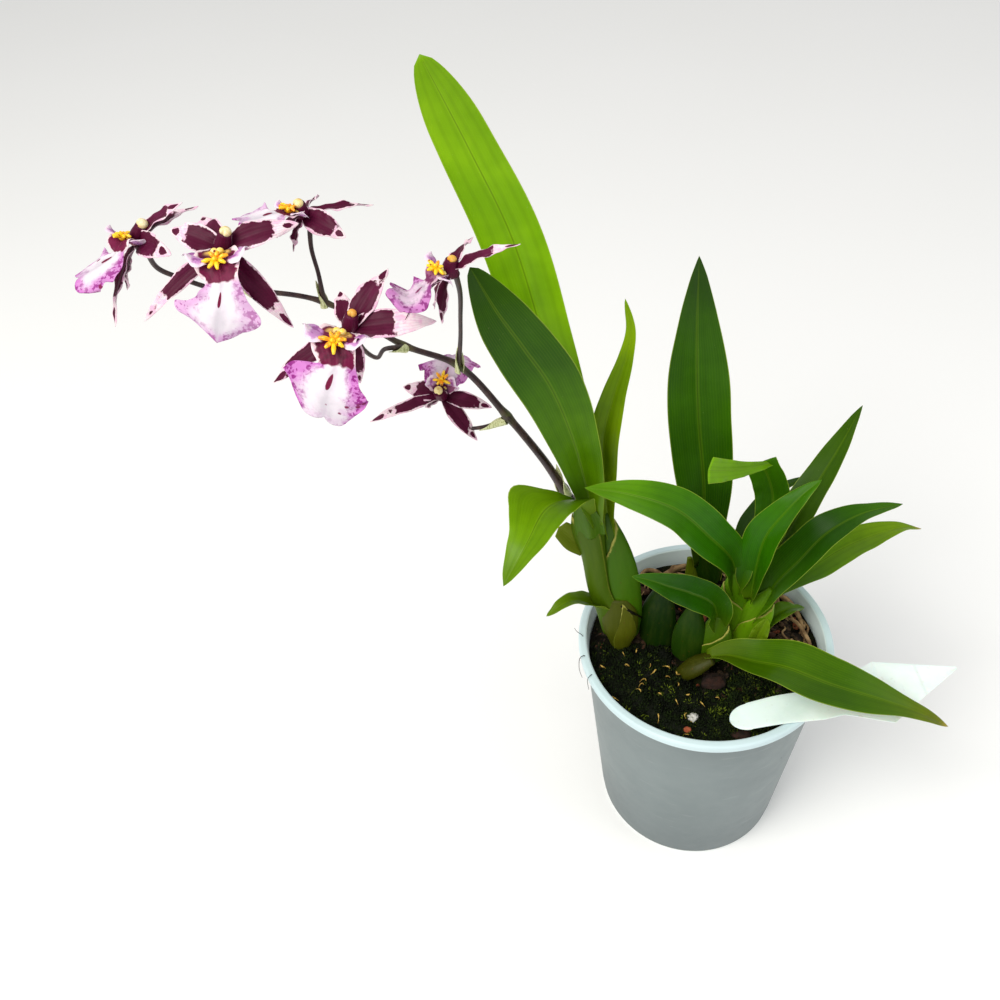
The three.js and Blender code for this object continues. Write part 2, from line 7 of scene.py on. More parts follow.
# %% Load the frame
import bpy
import numpy as np
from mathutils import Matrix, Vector


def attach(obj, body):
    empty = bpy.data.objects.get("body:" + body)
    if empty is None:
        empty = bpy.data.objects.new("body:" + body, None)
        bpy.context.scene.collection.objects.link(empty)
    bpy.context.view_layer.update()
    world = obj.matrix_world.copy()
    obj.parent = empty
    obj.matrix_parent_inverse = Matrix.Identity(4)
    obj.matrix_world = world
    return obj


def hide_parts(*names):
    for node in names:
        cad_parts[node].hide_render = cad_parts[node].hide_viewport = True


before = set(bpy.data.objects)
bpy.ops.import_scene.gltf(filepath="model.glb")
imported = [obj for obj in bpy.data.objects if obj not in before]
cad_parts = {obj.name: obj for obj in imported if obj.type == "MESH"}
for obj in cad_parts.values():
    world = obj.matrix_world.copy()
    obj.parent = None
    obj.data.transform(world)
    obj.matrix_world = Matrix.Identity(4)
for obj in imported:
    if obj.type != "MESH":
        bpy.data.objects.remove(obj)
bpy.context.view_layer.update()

# %% [markdown]
# ## Sizes and paths
# Sizes are written in millimetres, because that is how a pot or a leaf is measured, and turned into metres
# when a mesh is made. The same few driving values shape the frame's solids, so both models agree.

# %% Sizes of the pot, the bed and the label
MM = 0.001
POT = dict(height=130, rim_radius=60, rim_inner=56, rim_height=4.5, wall_top=56.8, wall_foot=47, wall=1.4)
POT_FLOOR = dict(thick=2, foot_round=3, holes=6, circle=34, hole_radius=4)
BED = dict(level=120.5, dome=2, relief=1.5)
MOSS = dict(thick=3.4, start=172, end=322, inner=20)
LABEL_THICK = 0.8
# A corner steeper than this many degrees looks sharp on moulded plastic
SHARP = 50
LABEL_STATIONS = [
    (2.5, -46.5, -43.5, 127), (4, -49, -41, 127.2), (8.5, -51.2, -38.2, 128.2), (24, -51.5, -37, 131.2),
    (42, -51.5, -36, 131.4), (52, -50, -33, 131.2), (73, -55, -22.5, 129), (92, -41.5, -25, 127.6),
    (111, -28.7, -27.3, 126),
]
SHOULDER = POT["height"] - POT["rim_height"]


def wall_radius(z):
    """Outer radius of the pot's wall at a height."""
    return POT["wall_foot"] + (POT["wall_top"] - POT["wall_foot"]) * z / SHOULDER


print("pot", POT["height"], "mm high,", 2 * POT["rim_radius"], "mm across the rim")

# %% [markdown]
# Leaves, petals and stems all follow a path. A Catmull-Rom curve goes through each point of a path, and is
# walked by its length, so that stations are even. `spread` reads a width or an angle that changes along it.


# %% Curves
def spread(values, s):
    """Values spread evenly from 0 to 1, read at s by a smooth curve through them."""
    values = np.asarray(values, float)
    last = len(values) - 1
    i = np.minimum(np.floor(s * last).astype(int), last - 1)
    x = s * last - i
    b, c = values[i], values[i + 1]
    a = np.where(i > 0, values[np.maximum(i - 1, 0)], 2 * b - c)
    d = np.where(i + 2 <= last, values[np.minimum(i + 2, last)], 2 * c - b)
    return b + 0.5 * x * (c - a + x * (2 * a - 5 * b + 4 * c - d + x * (3 * (b - c) + d - a)))


def curve_through(points, fine=60):
    """A smooth curve through points: lengths walked so far as shares, and the places there."""
    p = np.asarray(points, float)
    p = np.vstack([2 * p[0] - p[1], p, 2 * p[-1] - p[-2]])
    out = []
    for k in range(1, len(p) - 2):
        x0, x1, x2, x3 = p[k - 1 : k + 3]
        d0, d1, d2 = (np.linalg.norm(b - a) ** 0.5 for a, b in ((x0, x1), (x1, x2), (x2, x3)))
        t1 = ((x1 - x0) / d0 - (x2 - x0) / (d0 + d1) + (x2 - x1) / d1) * d1
        t2 = ((x2 - x1) / d1 - (x3 - x1) / (d1 + d2) + (x3 - x2) / d2) * d1
        t = np.linspace(0, 1, fine, endpoint=k == len(p) - 3)[:, None]
        out.append(x1 + t1 * t + (3 * (x2 - x1) - 2 * t1 - t2) * t**2 + (2 * (x1 - x2) + t1 + t2) * t**3)
    places = np.vstack(out)
    walked = np.r_[0, np.cumsum(np.linalg.norm(np.diff(places, axis=0), axis=1))]
    return walked / walked[-1], places, walked[-1]


def on_curve(curve, s):
    """Places and tangents on a curve at the shares s of its length."""
    walked, places, _ = curve

    def at(share):
        return np.stack([np.interp(share, walked, places[:, k]) for k in range(3)], 1)

    step = at(np.minimum(s + 0.01, 1)) - at(np.maximum(s - 0.01, 0))
    return at(s), step / np.linalg.norm(step, axis=1)[:, None]


def unit(v):
    v = np.asarray(v, float)
    return v / np.linalg.norm(v, axis=-1, keepdims=True)


def frames(curve, s, across=0, face=None, side=None, roll=(0, 0)):
    """Places p, tangents t, directions across b and face normals n along a curve."""
    p, t = on_curve(curve, s)
    if side is not None:
        b = np.tile(side, (len(s), 1)).astype(float)
    elif face is not None:
        b = np.cross(t, np.asarray(face, float))
    else:
        b = np.tile([np.cos(np.radians(across)), np.sin(np.radians(across)), 0], (len(s), 1))
    b = unit(b - t * np.sum(b * t, 1)[:, None])
    turn = np.radians(spread(roll, s))[:, None]
    b = b * np.cos(turn) + np.cross(t, b) * np.sin(turn)
    return p, t, b, np.cross(b, t)


print("curve of a straight path:", round(curve_through([(0, 0, 0), (0, 0, 5), (0, 0, 10)])[2], 3), "mm long")

# %% [markdown]
# A piece is put together from parts: arrays of points and faces with a UV place and two colours for each
# point. The first colour, `tone`, is the part's own base colour. The second, `marks`, steers its pattern.
# Materials read both as attributes, so one material serves every leaf, and another every petal.


# %% Meshes from parts
def paint(code):
    """A linear colour from its usual #rrggbb name."""
    c = np.array([int(code[i : i + 2], 16) for i in (1, 3, 5)]) / 255
    return tuple(np.where(c < 0.04045, c / 12.92, ((c + 0.055) / 1.055) ** 2.4)) + (1.0,)


def part_of(points, faces, uv=None, tone=(1, 1, 1, 1), marks=(0, 0, 0, 0)):
    count = len(points)
    uv = np.zeros((count, 2)) if uv is None else uv
    rows = [np.broadcast_to(np.asarray(c, float), (count, 4)) for c in (tone, marks)]
    return points, faces, uv, rows[0], rows[1]


def make_piece(name, parts, finish, slot, *nodes):
    """One mesh object from parts, in its place, that rides on the plant and replaces nodes."""
    points, faces, uv, tone, marks = [], [], [], [], []
    for p, f, u, t, m in parts:
        start = sum(len(q) for q in points)
        faces += [tuple(start + i for i in face) for face in f]
        for rows, more in zip((points, uv, tone, marks), (p, u, t, m)):
            rows.append(more)
    mesh = bpy.data.meshes.new(name)
    mesh.from_pydata((np.vstack(points) * MM).tolist(), [], faces)
    corner = np.empty(len(mesh.loops), int)
    mesh.loops.foreach_get("vertex_index", corner)
    mesh.uv_layers.new(name="along").data.foreach_set("uv", np.vstack(uv)[corner].ravel())
    for label, rows in (("tone", tone), ("marks", marks)):
        layer = mesh.attributes.new(label, "FLOAT_COLOR", "POINT")
        layer.data.foreach_set("color", np.vstack(rows).ravel())
    mesh.polygons.foreach_set("use_smooth", [True] * len(mesh.polygons))
    mesh.materials.append(finish)
    return settle(bpy.data.objects.new(name, mesh), slot, *nodes)


def settle(piece, slot, *nodes):
    """The piece joins the scene, rides on the plant and stands for nodes."""
    bpy.context.scene.collection.objects.link(piece)
    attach(piece, "root")
    if nodes:
        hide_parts(*nodes)
    return piece


def skin(rings):
    """Faces of a stack of closed rings of points, capped at both ends."""
    count, around = rings.shape[:2]
    i, j = np.meshgrid(np.arange(count - 1), np.arange(around), indexing="ij")
    k = (j + 1) % around
    faces = np.stack([i * around + j, i * around + k, (i + 1) * around + k, (i + 1) * around + j], -1)
    faces = [tuple(f) for f in faces.reshape(-1, 4)]
    faces.append(tuple(range(around - 1, -1, -1)))
    faces.append(tuple((count - 1) * around + q for q in range(around)))
    return faces


def quads(index):
    """Faces of a grid of point numbers."""
    a, b, c, d = index[:-1, :-1], index[:-1, 1:], index[1:, 1:], index[1:, :-1]
    return [tuple(q) for q in np.stack([a, b, c, d], -1).reshape(-1, 4).tolist()]


def strip(one, two):
    """Faces between two rows of point numbers."""
    return [tuple(q) for q in np.stack([one[:-1], one[1:], two[1:], two[:-1]], -1).tolist()]


def sheet_faces(rows, lanes, flipped=False):
    """Faces of a closed sheet: one grid of points, a second grid behind it, and strips round the margins."""
    front = np.arange(rows * lanes).reshape(rows, lanes)
    back = front + front.size
    if flipped:
        front, back = back, front
    faces = quads(front) + quads(back[:, ::-1])
    faces += strip(front[:, 0], back[:, 0]) + strip(back[:, -1], front[:, -1])
    return faces + strip(back[0], front[0]) + strip(front[-1], back[-1])


print("a sheet of 3 by 4 points has", len(sheet_faces(3, 4)), "faces")

# %% [markdown]
# ## Finishes
# A material could be clicked together by hand, but then nobody could read how it was made. A small class
# keeps the node trees short. Each method adds one kind of node, and takes sockets or plain values. Patterns
# read Object coordinates, or the piece's own UV map where they must follow the blade.


# %% A material builder
class Nodes:
    """A node tree with a short way to add a node; subclasses make the tree."""

    prefix = ""

    def put(self, socket, value):
        if isinstance(value, bpy.types.NodeSocket):
            self.tree.links.new(value, socket)
        elif value is not None:
            socket.default_value = value

    def add(self, kind, inputs, output=0, **settings):
        node = self.tree.nodes.new(self.prefix + kind)
        for key, value in settings.items():
            setattr(node, key, value)
        for key, value in inputs.items():
            self.put(node.inputs[key], value)
        return node.outputs[output]


class Finish(Nodes):
    prefix = "ShaderNode"

    def __init__(self, name, **sockets):
        self.material = bpy.data.materials.new(name)
        self.material.use_nodes = True
        self.tree = self.material.node_tree
        self.tree.nodes.clear()
        output = self.tree.nodes.new("ShaderNodeOutputMaterial")
        self.shader = self.tree.nodes.new("ShaderNodeBsdfPrincipled")
        self.tree.links.new(self.shader.outputs["BSDF"], output.inputs["Surface"])
        for key, value in sockets.items():
            self.put(self.shader.inputs[key.replace("_", " ")], value)

    def math(self, operation, a, b=None, c=None):
        return self.add("Math", {0: a, 1: b, 2: c}, operation=operation)

    def times(self, a, b):
        return self.math("MULTIPLY", a, b)

    def times_add(self, a, b, c):
        return self.math("MULTIPLY_ADD", a, b, c)

    def away(self, value, middle, width):
        """Distance from a middle, counted in widths and squared."""
        return self.math("POWER", self.math("DIVIDE", self.math("SUBTRACT", value, middle), width), 2.0)

    def step(self, value, low, high):
        """0 below low and 1 above high, smooth between; low may be the larger."""
        names = {"Value": value, "From Min": low, "From Max": high}
        return self.add("MapRange", names, interpolation_type="SMOOTHSTEP")

    def mix(self, share, a, b, blend="MIX"):
        return self.add("Mix", {0: share, 6: a, 7: b}, output=2, data_type="RGBA", blend_type=blend)

    def stain(self, color, code, mask, share=1.0):
        """The colour, covered by a share of another one where the mask is 1."""
        return self.mix(self.times(mask, share), color, paint(code))

    def place(self, stretch=(1, 1, 1)):
        spot = self.add("TexCoord", {}, output="Object")
        return self.add("Mapping", {"Vector": spot, "Scale": stretch})

    def noise(self, scale, detail=3.0, stretch=(1, 1, 1)):
        names = {"Vector": self.place(stretch), "Scale": scale, "Detail": detail, "Roughness": 0.55}
        return self.add("TexNoise", names)

    def swing(self, scale):
        """Noise that swings about 0."""
        return self.math("SUBTRACT", self.noise(scale), 0.5)

    def cells(self, scale):
        return self.add("TexVoronoi", {"Vector": self.place(), "Scale": scale}, output="Distance")

    def uv(self):
        """Distance from the midline, 0 to 1, place across, 0 to 1, and place along."""
        split = self.add("SeparateXYZ", {0: self.add("UVMap", {}, uv_map="along")}).node
        u, v = split.outputs[0], split.outputs[1]
        out = self.math("ABSOLUTE", self.times_add(u, 2.0, -1.0))
        return out, u, v

    def attribute(self, name):
        node = self.add("Attribute", {}, attribute_name=name).node
        red, green, blue = self.add("SeparateColor", {0: node.outputs["Color"]}).node.outputs[:3]
        return node.outputs["Color"], red, green, blue, node.outputs["Alpha"]

    def finish(self, color, roughness=None, height=None, distance=0.0003, strength=0.5):
        self.put(self.shader.inputs["Base Color"], color)
        self.put(self.shader.inputs["Roughness"], roughness)
        if height is not None:
            names = {"Height": height, "Distance": distance, "Strength": strength}
            self.put(self.shader.inputs["Normal"], self.add("Bump", names))
        return self.material


def glow(weight, radius):
    """Sockets for the light that goes a little way into a leaf, a petal or wax."""
    return dict(Subsurface_Weight=weight, Subsurface_Radius=radius, Subsurface_Scale=0.1)


print("finish builder is ready")

# %% [markdown]
# ### Leaf
# A leaf has a satin face, fine veins that run its length, a crease along the midrib that is painted dark as
# painted shade, a thin pale edge, and a lighter root. A picture could be laid on it, but it would stretch on
# every leaf in its own way. Here the veins are a sine across the UV map, bent a little by noise, so they keep
# to the blade. The underside is paler: its points carry a mark of 1.


# %% Leaf finish
def leaf_finish():
    f = Finish("leaf skin", Specular_IOR_Level=0.11, **glow(0.05, (0.004, 0.008, 0.001)))
    out, u, v = f.uv()
    tone, *_ = f.attribute("tone")
    _, under, dry, *_ = f.attribute("marks")
    drift = f.noise(26, 4)
    fine = f.noise(900, 3)
    bent = f.times_add(f.noise(45, 2), 0.05, u)
    veins = f.math("SINE", f.times(bent, 150.0))
    broad = f.math("SINE", f.times(bent, 31.0))
    color = f.mix(f.step(drift, 0.3, 0.7), tone, f.mix(1.0, tone, paint("#c6d29a"), "MULTIPLY"))
    color = f.stain(color, "#9cc020", f.step(veins, 0.2, 1.0), 0.04)
    color = f.stain(color, "#173800", f.step(broad, 0.1, 1.0), 0.1)
    color = f.stain(color, "#6f8a10", f.step(v, 0.2, 0.0), 0.2)
    flank = f.step(out, 0.09, 0.03)
    color = f.stain(color, "#a9cc30", flank, 0.09)
    # Painted shade: the midrib's crease is painted dark, as if shadow lay in its groove
    painted_crease_shade = f.step(out, 0.032, 0.012)
    color = f.stain(color, "#173400", painted_crease_shade, 0.4)
    color = f.stain(color, "#7d9c2c", under, 0.25)
    border = f.step(f.times_add(fine, 0.015, out), 0.972, 0.99)
    color = f.stain(color, "#a9bc40", border, 0.45)
    scorched = f.step(f.times_add(fine, 0.05, v), 0.965, 1.02)
    color = f.stain(color, "#9a8a30", scorched, dry)
    specks = f.step(f.noise(1500, 2), 0.7, 0.78)
    color = f.stain(color, "#d5dc9c", specks, 0.1)
    rough = f.times_add(f.noise(260, 3), 0.16, 0.26)
    rough = f.times_add(under, 0.15, rough)
    height = f.times_add(veins, 0.5, f.times(fine, 0.5))
    return f.finish(color, rough, height, distance=0.0001, strength=0.16)


LEAF_SKIN = leaf_finish()
print("leaf finish:", len(LEAF_SKIN.node_tree.nodes), "nodes")

# %% [markdown]
# ### Bulbs and sheaths
# A bulb is faintly ribbed along its length and carries a few brown spots. A sheath is the base of a leaf that
# has dried at its margin, so its edge and its top are torn and straw-coloured. Both share one finish. A mark
# on the points of a sheath turns the torn edge on, and noise makes the edge ragged.


# %% Growth finish
def growth_finish():
    f = Finish("growth skin", Specular_IOR_Level=0.15, **glow(0.05, (0.004, 0.008, 0.001)))
    out, u, v = f.uv()
    tone, *_ = f.attribute("tone")
    _, torn, *_ = f.attribute("marks")
    ribs = f.math("SINE", f.times_add(f.noise(60, 2), 4.0, f.times(u, 62.0)))
    streak = f.noise(60, 4, stretch=(6, 6, 0.7))
    color = f.stain(tone, "#9aa23a", f.step(streak, 0.42, 0.72), 0.035)
    color = f.stain(color, "#243c04", f.step(ribs, 0.0, 1.0), 0.06)
    ragged = f.times_add(f.noise(700, 3), 0.07, out)
    lip = f.times(f.step(ragged, 0.965, 0.995), torn)
    color = f.stain(color, "#8f9a34", lip, 0.5)
    top = f.times_add(f.noise(700, 3), 0.06, v)
    color = f.stain(color, "#a3a04c", f.step(top, 0.985, 1.02), torn)
    spots = f.step(f.cells(260), 0.13, 0.08)
    color = f.stain(color, "#5a3c14", spots, 0.4)
    rough = f.times_add(f.noise(240, 3), 0.22, 0.38)
    return f.finish(color, rough, ribs, distance=0.0001, strength=0.12)


GROWTH_SKIN = growth_finish()
print("growth finish:", len(GROWTH_SKIN.node_tree.nodes), "nodes")

# %% [markdown]
# ### Tepals
# The tepals are maroon with a pale, ragged margin and a loose blotch near the tip. The pattern is drawn from
# the UV map: a core that reaches to a share of the length and stops short of the edges, bent by noise. Each
# tepal's marks say how far the core reaches, how wide the margin is, where the blotch sits and which side is
# the dull back. So one material makes thirty tepals that all differ.


# %% Tepal finish
MAROON = "#4d0a2b"
MAROON_DARK = "#2a0717"
PALE = "#e9d5db"
LILAC = "#c477be"
MAGENTA = "#8e2a80"


def tepal_finish():
    f = Finish("tepal", Specular_IOR_Level=0.12, **glow(0.05, (0.003, 0.001, 0.0015)))
    out, u, v = f.uv()
    _, reach, margin, blotch, veil = f.attribute("marks")
    coarse = f.swing(210)
    fine = f.swing(800)
    along = f.times_add(coarse, 0.45, f.times_add(fine, 0.12, v))
    across = f.times_add(coarse, 0.6, f.times_add(fine, 0.3, out))
    core = f.step(f.math("SUBTRACT", along, reach), 0.02, -0.02)
    edge = f.math("SUBTRACT", 1.0, f.times(margin, f.times_add(v, 0.8, 0.6)))
    inner = f.step(f.math("SUBTRACT", across, edge), 0.04, -0.04)
    far = f.away(v, blotch, 0.085)
    wide = f.away(out, 0.0, 0.62)
    near = f.times_add(coarse, 4.5, f.math("ADD", far, wide))
    mask = f.math("MAXIMUM", f.times(core, inner), f.step(near, 1.15, 0.85))
    streak = f.math("SINE", f.times_add(coarse, 6.0, f.times(u, 46.0)))
    dark = f.mix(f.times(f.step(streak, 0.1, 1.0), 0.25), paint(MAROON), paint("#3a0820"))
    dark = f.stain(dark, "#6f2049", f.step(f.noise(120, 2), 0.5, 0.7), 0.3)
    dark = f.stain(dark, MAROON_DARK, f.step(v, 0.3, 0.0), 0.7)
    blush = f.mix(f.step(f.noise(420, 3), 0.42, 0.66), paint(PALE), paint("#e3b4cd"))
    pale = f.stain(blush, "#a8608c", f.step(streak, 0.5, 1.0), 0.2)
    color = f.mix(mask, pale, dark)
    back = f.mix(mask, paint("#d5b9c6"), paint("#5a2743"))
    back = f.stain(back, "#b99aab", f.step(v, 0.45, 0.75), 0.75)
    color = f.mix(f.times(veil, 0.8), color, back)
    rough = f.times_add(f.noise(500, 2), 0.2, 0.36)
    return f.finish(color, rough, streak, distance=0.0001, strength=0.12)


TEPAL_SKIN = tepal_finish()
print("tepal finish:", len(TEPAL_SKIN.node_tree.nodes), "nodes")

# %% [markdown]
# ### Lip
# The skirt of the lip is white, mottled with lilac towards its sides and its end, with a dark drop on its
# midline and a few spots under it. Its narrow waist under the crest is maroon with a cream margin. The bands
# follow the lip's length, so they are steps on the UV map. Cells and noise break them up.


# %% Lip finish
def lip_finish():
    f = Finish("lip", Specular_IOR_Level=0.15, **glow(0.1, (0.003, 0.002, 0.0025)))
    out, u, v = f.uv()
    _, left, right, tip, veil = f.attribute("marks")
    coarse = f.swing(260)
    fine = f.swing(950)
    bent = f.times_add(coarse, 0.3, v)
    half = f.step(u, 0.35, 0.65)
    amount = f.mix(half, right, left)
    side = f.step(f.times_add(coarse, 0.6, out), 0.36, 0.8)
    ends = f.times(f.step(bent, 0.8, 0.98), tip)
    mottled = f.math("MAXIMUM", f.times(side, amount), ends)
    wash = f.mix(mottled, paint("#e4dbe4"), paint(LILAC))
    blots = f.step(f.times_add(fine, 0.8, f.noise(430, 2)), 0.5, 0.6)
    skirt = f.stain(wash, MAGENTA, blots, mottled)
    # Painted shade: a grey wash along the skirt's midline
    shade = f.times(f.step(f.times_add(coarse, 0.4, out), 0.3, 0.0), 0.6)
    skirt = f.stain(skirt, "#b9b2bd", shade)
    spots = f.step(f.times_add(fine, 0.2, f.cells(235)), 0.23, 0.17)
    zone = f.times(f.step(v, 0.6, 0.66), f.step(v, 0.9, 0.82))
    zone = f.times(zone, f.step(f.noise(150, 1), 0.42, 0.55))
    skirt = f.stain(skirt, "#7d1f4e", spots, zone)
    drop_v = f.away(v, 0.565, 0.075)
    drop_u = f.away(u, 0.52, 0.032)
    drop = f.step(f.times_add(coarse, 1.2, f.math("ADD", drop_v, drop_u)), 1.1, 0.8)
    skirt = f.stain(skirt, "#6d1038", drop)
    scallop = f.math("SINE", f.times_add(coarse, 6.0, f.times(u, 24.0)))
    waist_low = f.times_add(scallop, 0.006, 0.41)
    waist = f.step(f.math("SUBTRACT", f.times_add(coarse, 0.06, v), waist_low), 0.01, -0.01)
    inner = f.step(f.times_add(coarse, 0.7, out), 0.9, 0.8)
    cover = f.times(waist, inner)
    cream = f.mix(f.step(fine, 0.0, 0.2), paint("#ead2d6"), paint("#d8a5c0"))
    ground = f.mix(f.step(v, 0.38, 0.43), cream, skirt)
    color = f.mix(cover, ground, f.mix(f.step(coarse, -0.1, 0.2), paint("#6b0f3a"), paint("#4b0a28")))
    throat = f.times(f.step(v, 0.16, 0.08), f.step(out, 0.75, 0.55))
    color = f.stain(color, "#f0c870", throat)
    mauve = f.mix(blots, paint("#b27ca6"), paint("#7c3f70"))
    color = f.mix(f.times(veil, 0.8), color, mauve)
    veins = f.math("SINE", f.times_add(coarse, 5.0, f.times(u, 60.0)))
    rough = f.times_add(f.noise(500, 2), 0.2, 0.4)
    return f.finish(color, rough, veins, distance=0.0001, strength=0.15)


LIP_SKIN = lip_finish()
print("lip finish:", len(LIP_SKIN.node_tree.nodes), "nodes")

# %% [markdown]
# ### Side lobes, crest and cap
# The two side lobes of a lip are mauve with purple blots and a pale rolled margin. The crest is waxy yellow
# and orange with red-brown dots, and the anther cap is a waxy cream or amber. The lobes read the UV map for
# their rim. The others are so small that plain noise is enough. A little light goes through the wax.


# %% Side lobe finish
def lobe_finish():
    f = Finish("lip lobe", Specular_IOR_Level=0.25, **glow(0.1, (0.003, 0.002, 0.0025)))
    out, _, v = f.uv()
    coarse = f.swing(330)
    rim = f.step(f.times_add(coarse, 0.8, out), 0.62, 0.85)
    far = f.step(f.times_add(coarse, 0.5, v), 0.62, 0.85)
    blots = f.step(f.noise(480, 2), 0.5, 0.58)
    color = f.mix(f.times(blots, 0.7), paint("#c58ac4"), paint("#8a3a86"))
    color = f.stain(color, "#f1dfec", f.math("MAXIMUM", rim, far), 0.85)
    color = f.stain(color, "#6b0f3a", f.step(v, 0.3, 0.15))
    return f.finish(color, 0.5, f.noise(900, 2), distance=0.0001, strength=0.3)


LOBE_SKIN = lobe_finish()
print("side lobe finish:", len(LOBE_SKIN.node_tree.nodes), "nodes")


# %% Crest and cap finishes
def crest_finish():
    f = Finish("crest wax", Specular_IOR_Level=0.5, **glow(0.15, (0.004, 0.002, 0.0005)))
    tone, *_ = f.attribute("tone")
    # Painted highlight: patches of light yellow, drawn by noise, stand for light on the wax
    color = f.stain(tone, "#ffd630", f.step(f.noise(700, 3), 0.35, 0.7))
    dots = f.step(f.cells(560), 0.3, 0.2)
    patch = f.step(f.noise(380, 2), 0.4, 0.52)
    color = f.stain(color, "#8c2a10", dots, patch)
    return f.finish(color, 0.34, f.noise(1500, 2), distance=0.0001, strength=0.4)


def cap_finish():
    f = Finish("anther cap", Specular_IOR_Level=0.45, **glow(0.15, (0.004, 0.003, 0.001)))
    tone, *_ = f.attribute("tone")
    color = f.stain(tone, "#d9b25a", f.step(f.noise(500, 3), 0.4, 0.7))
    return f.finish(color, 0.42, f.noise(1200, 2), distance=0.0001, strength=0.3)


CREST_WAX = crest_finish()
CAP_WAX = cap_finish()
print("crest and cap finishes:", CREST_WAX.name, "and", CAP_WAX.name)

# %% [markdown]
# ### Spike
# The spike is nearly black, streaked with brown, and green shows through at its joints. Its bracts are thin,
# papery and pale, with veins along them. One material does both, because a bract clasps the stem so closely
# that they should share their grain. Marks on the points choose between green, papery and plain.


# %% Spike finish
def spike_finish():
    f = Finish("spike skin", Specular_IOR_Level=0.45)
    tone, *_ = f.attribute("tone")
    _, green, papery, *_ = f.attribute("marks")
    streak = f.noise(160, 4, stretch=(3, 3, 1))
    color = f.stain(tone, "#6a4b3c", f.step(streak, 0.42, 0.7), 0.3)
    show = f.times(green, f.step(f.noise(220, 3), 0.3, 0.62))
    color = f.stain(color, "#5c6a22", show)
    veins = f.step(f.noise(500, 3, stretch=(4, 4, 0.6)), 0.5, 0.62)
    bract = f.mix(veins, paint("#d3d6a4"), paint("#a5ab6c"))
    color = f.mix(papery, color, bract)
    rough = f.times_add(streak, 0.25, 0.3)
    return f.finish(color, rough, f.noise(900, 3, stretch=(1, 1, 0.3)), distance=0.0001, strength=0.4)


SPIKE_SKIN = spike_finish()
print("spike finish:", len(SPIKE_SKIN.node_tree.nodes), "nodes")

# %% [markdown]
# ### Pot and label
# The pot is injection-moulded plastic: grey, satin, with a faint orange-peel surface, a few stuck specks and
# a little dust low on the wall. Its wall is painted a little darker towards the foot as painted shade, and
# its thick rim and its inside are painted whiter as painted light. The tones are chosen by height and by
# distance from the axis, so the rim needs no piece of its own. The label is thin mint-white plastic.


# %% Pot and label finishes
def pot_finish():
    f = Finish("pot plastic", Specular_IOR_Level=0.3)
    split = f.add("SeparateXYZ", {0: f.add("TexCoord", {}, output="Object")}).node
    height = split.outputs[2]
    cloud = f.noise(22, 4)
    wall = f.mix(f.step(cloud, 0.3, 0.7), paint("#737e7f"), paint("#7b8687"))
    # Painted shade: the lower wall is painted darker towards the foot
    wall = f.stain(wall, "#626b6d", f.step(height, 0.07, 0.0), 0.6)
    # Painted light: the rim is painted much whiter than the wall, as if lit from above
    rim = f.mix(f.step(cloud, 0.3, 0.7), paint("#cfe2e6"), paint("#c5dade"))
    line = SHOULDER * MM
    color = f.mix(f.step(height, line - 0.0004, line + 0.0002), wall, rim)
    reach = f.add("VectorMath", {0: f.place((1, 1, 0))}, output="Value", operation="LENGTH")
    taper = (POT["wall_top"] - POT["wall_foot"]) / SHOULDER
    outside = f.times_add(height, taper, POT["wall_foot"] * MM)
    # Painted light: the inside of the pot is painted whiter still
    painted_light_inside = f.step(f.math("SUBTRACT", outside, reach), 0.0005, 0.0009)
    color = f.stain(color, "#e9f7f9", painted_light_inside)
    scuffs = f.step(f.noise(60, 5, stretch=(1, 1, 7)), 0.6, 0.8)
    color = f.stain(color, "#c9cfcd", scuffs, 0.16)
    specks = f.step(f.cells(95), 0.055, 0.035)
    sparse = f.step(f.noise(35, 1), 0.5, 0.56)
    color = f.stain(color, "#2b2620", specks, sparse)
    dusty = f.step(f.times_add(f.noise(300, 4), 0.004, height), 0.0065, 0.003)
    color = f.stain(color, "#6d6a5c", dusty, 0.3)
    rough = f.times_add(f.noise(150, 3), 0.16, 0.36)
    return f.finish(color, rough, f.noise(1400, 2), distance=0.00006, strength=0.35)


def label_finish():
    f = Finish("label plastic", Specular_IOR_Level=0.45, Subsurface_Weight=0.1, Subsurface_Scale=0.01)
    cloud = f.noise(60, 4)
    color = f.mix(f.step(cloud, 0.4, 0.7), paint("#f1fdf8"), paint("#e4f3ec"))
    dirt = f.times(f.step(f.noise(420, 4), 0.62, 0.74), 0.22)
    color = f.stain(color, "#b9b49c", dirt)
    rough = f.times_add(f.noise(300, 2), 0.15, 0.38)
    return f.finish(color, rough, f.noise(700, 2), distance=0.00006, strength=0.3)


POT_PLASTIC = pot_finish()
LABEL_PLASTIC = label_finish()
print("pot and label finishes:", POT_PLASTIC.name, "and", LABEL_PLASTIC.name)

# %% [markdown]
# ### Bark, moss and roots
# All that lies in the pot is rough and very dark, with a few warmer chips. A bed of copies in one colour
# looks like gravel from a bag, so every copy carries its own shade as an attribute, and the material turns it
# into a colour. Plainer things mix two shades by noise.


# %% Bed finishes
def bed_finish():
    f = Finish("bed mix", Specular_IOR_Level=0.12)
    color = f.mix(f.step(f.noise(130, 5), 0.42, 0.62), paint("#0b0804"), paint("#171c06"))
    color = f.stain(color, "#3c2b18", f.step(f.noise(420, 4), 0.58, 0.7), 0.7)
    return f.finish(color, 0.9, f.noise(650, 5), distance=0.0016, strength=0.9)


def chip_finish():
    """Bark: each chip carries its own shade, from near black to a warm red-brown."""
    f = Finish("bark", Specular_IOR_Level=0.25)
    shade = f.add("Attribute", {}, output="Fac", attribute_name="shade")
    color = f.mix(f.step(shade, 0.35, 1.0), paint("#171009"), paint("#3f2616"))
    color = f.stain(color, "#7a3a22", f.step(shade, 0.93, 0.99))
    layers = f.noise(260, 5, stretch=(1, 1, 5))
    color = f.stain(color, "#6b523a", f.step(layers, 0.45, 0.7), 0.5)
    return f.finish(color, 0.85, layers, distance=0.0005, strength=0.7)


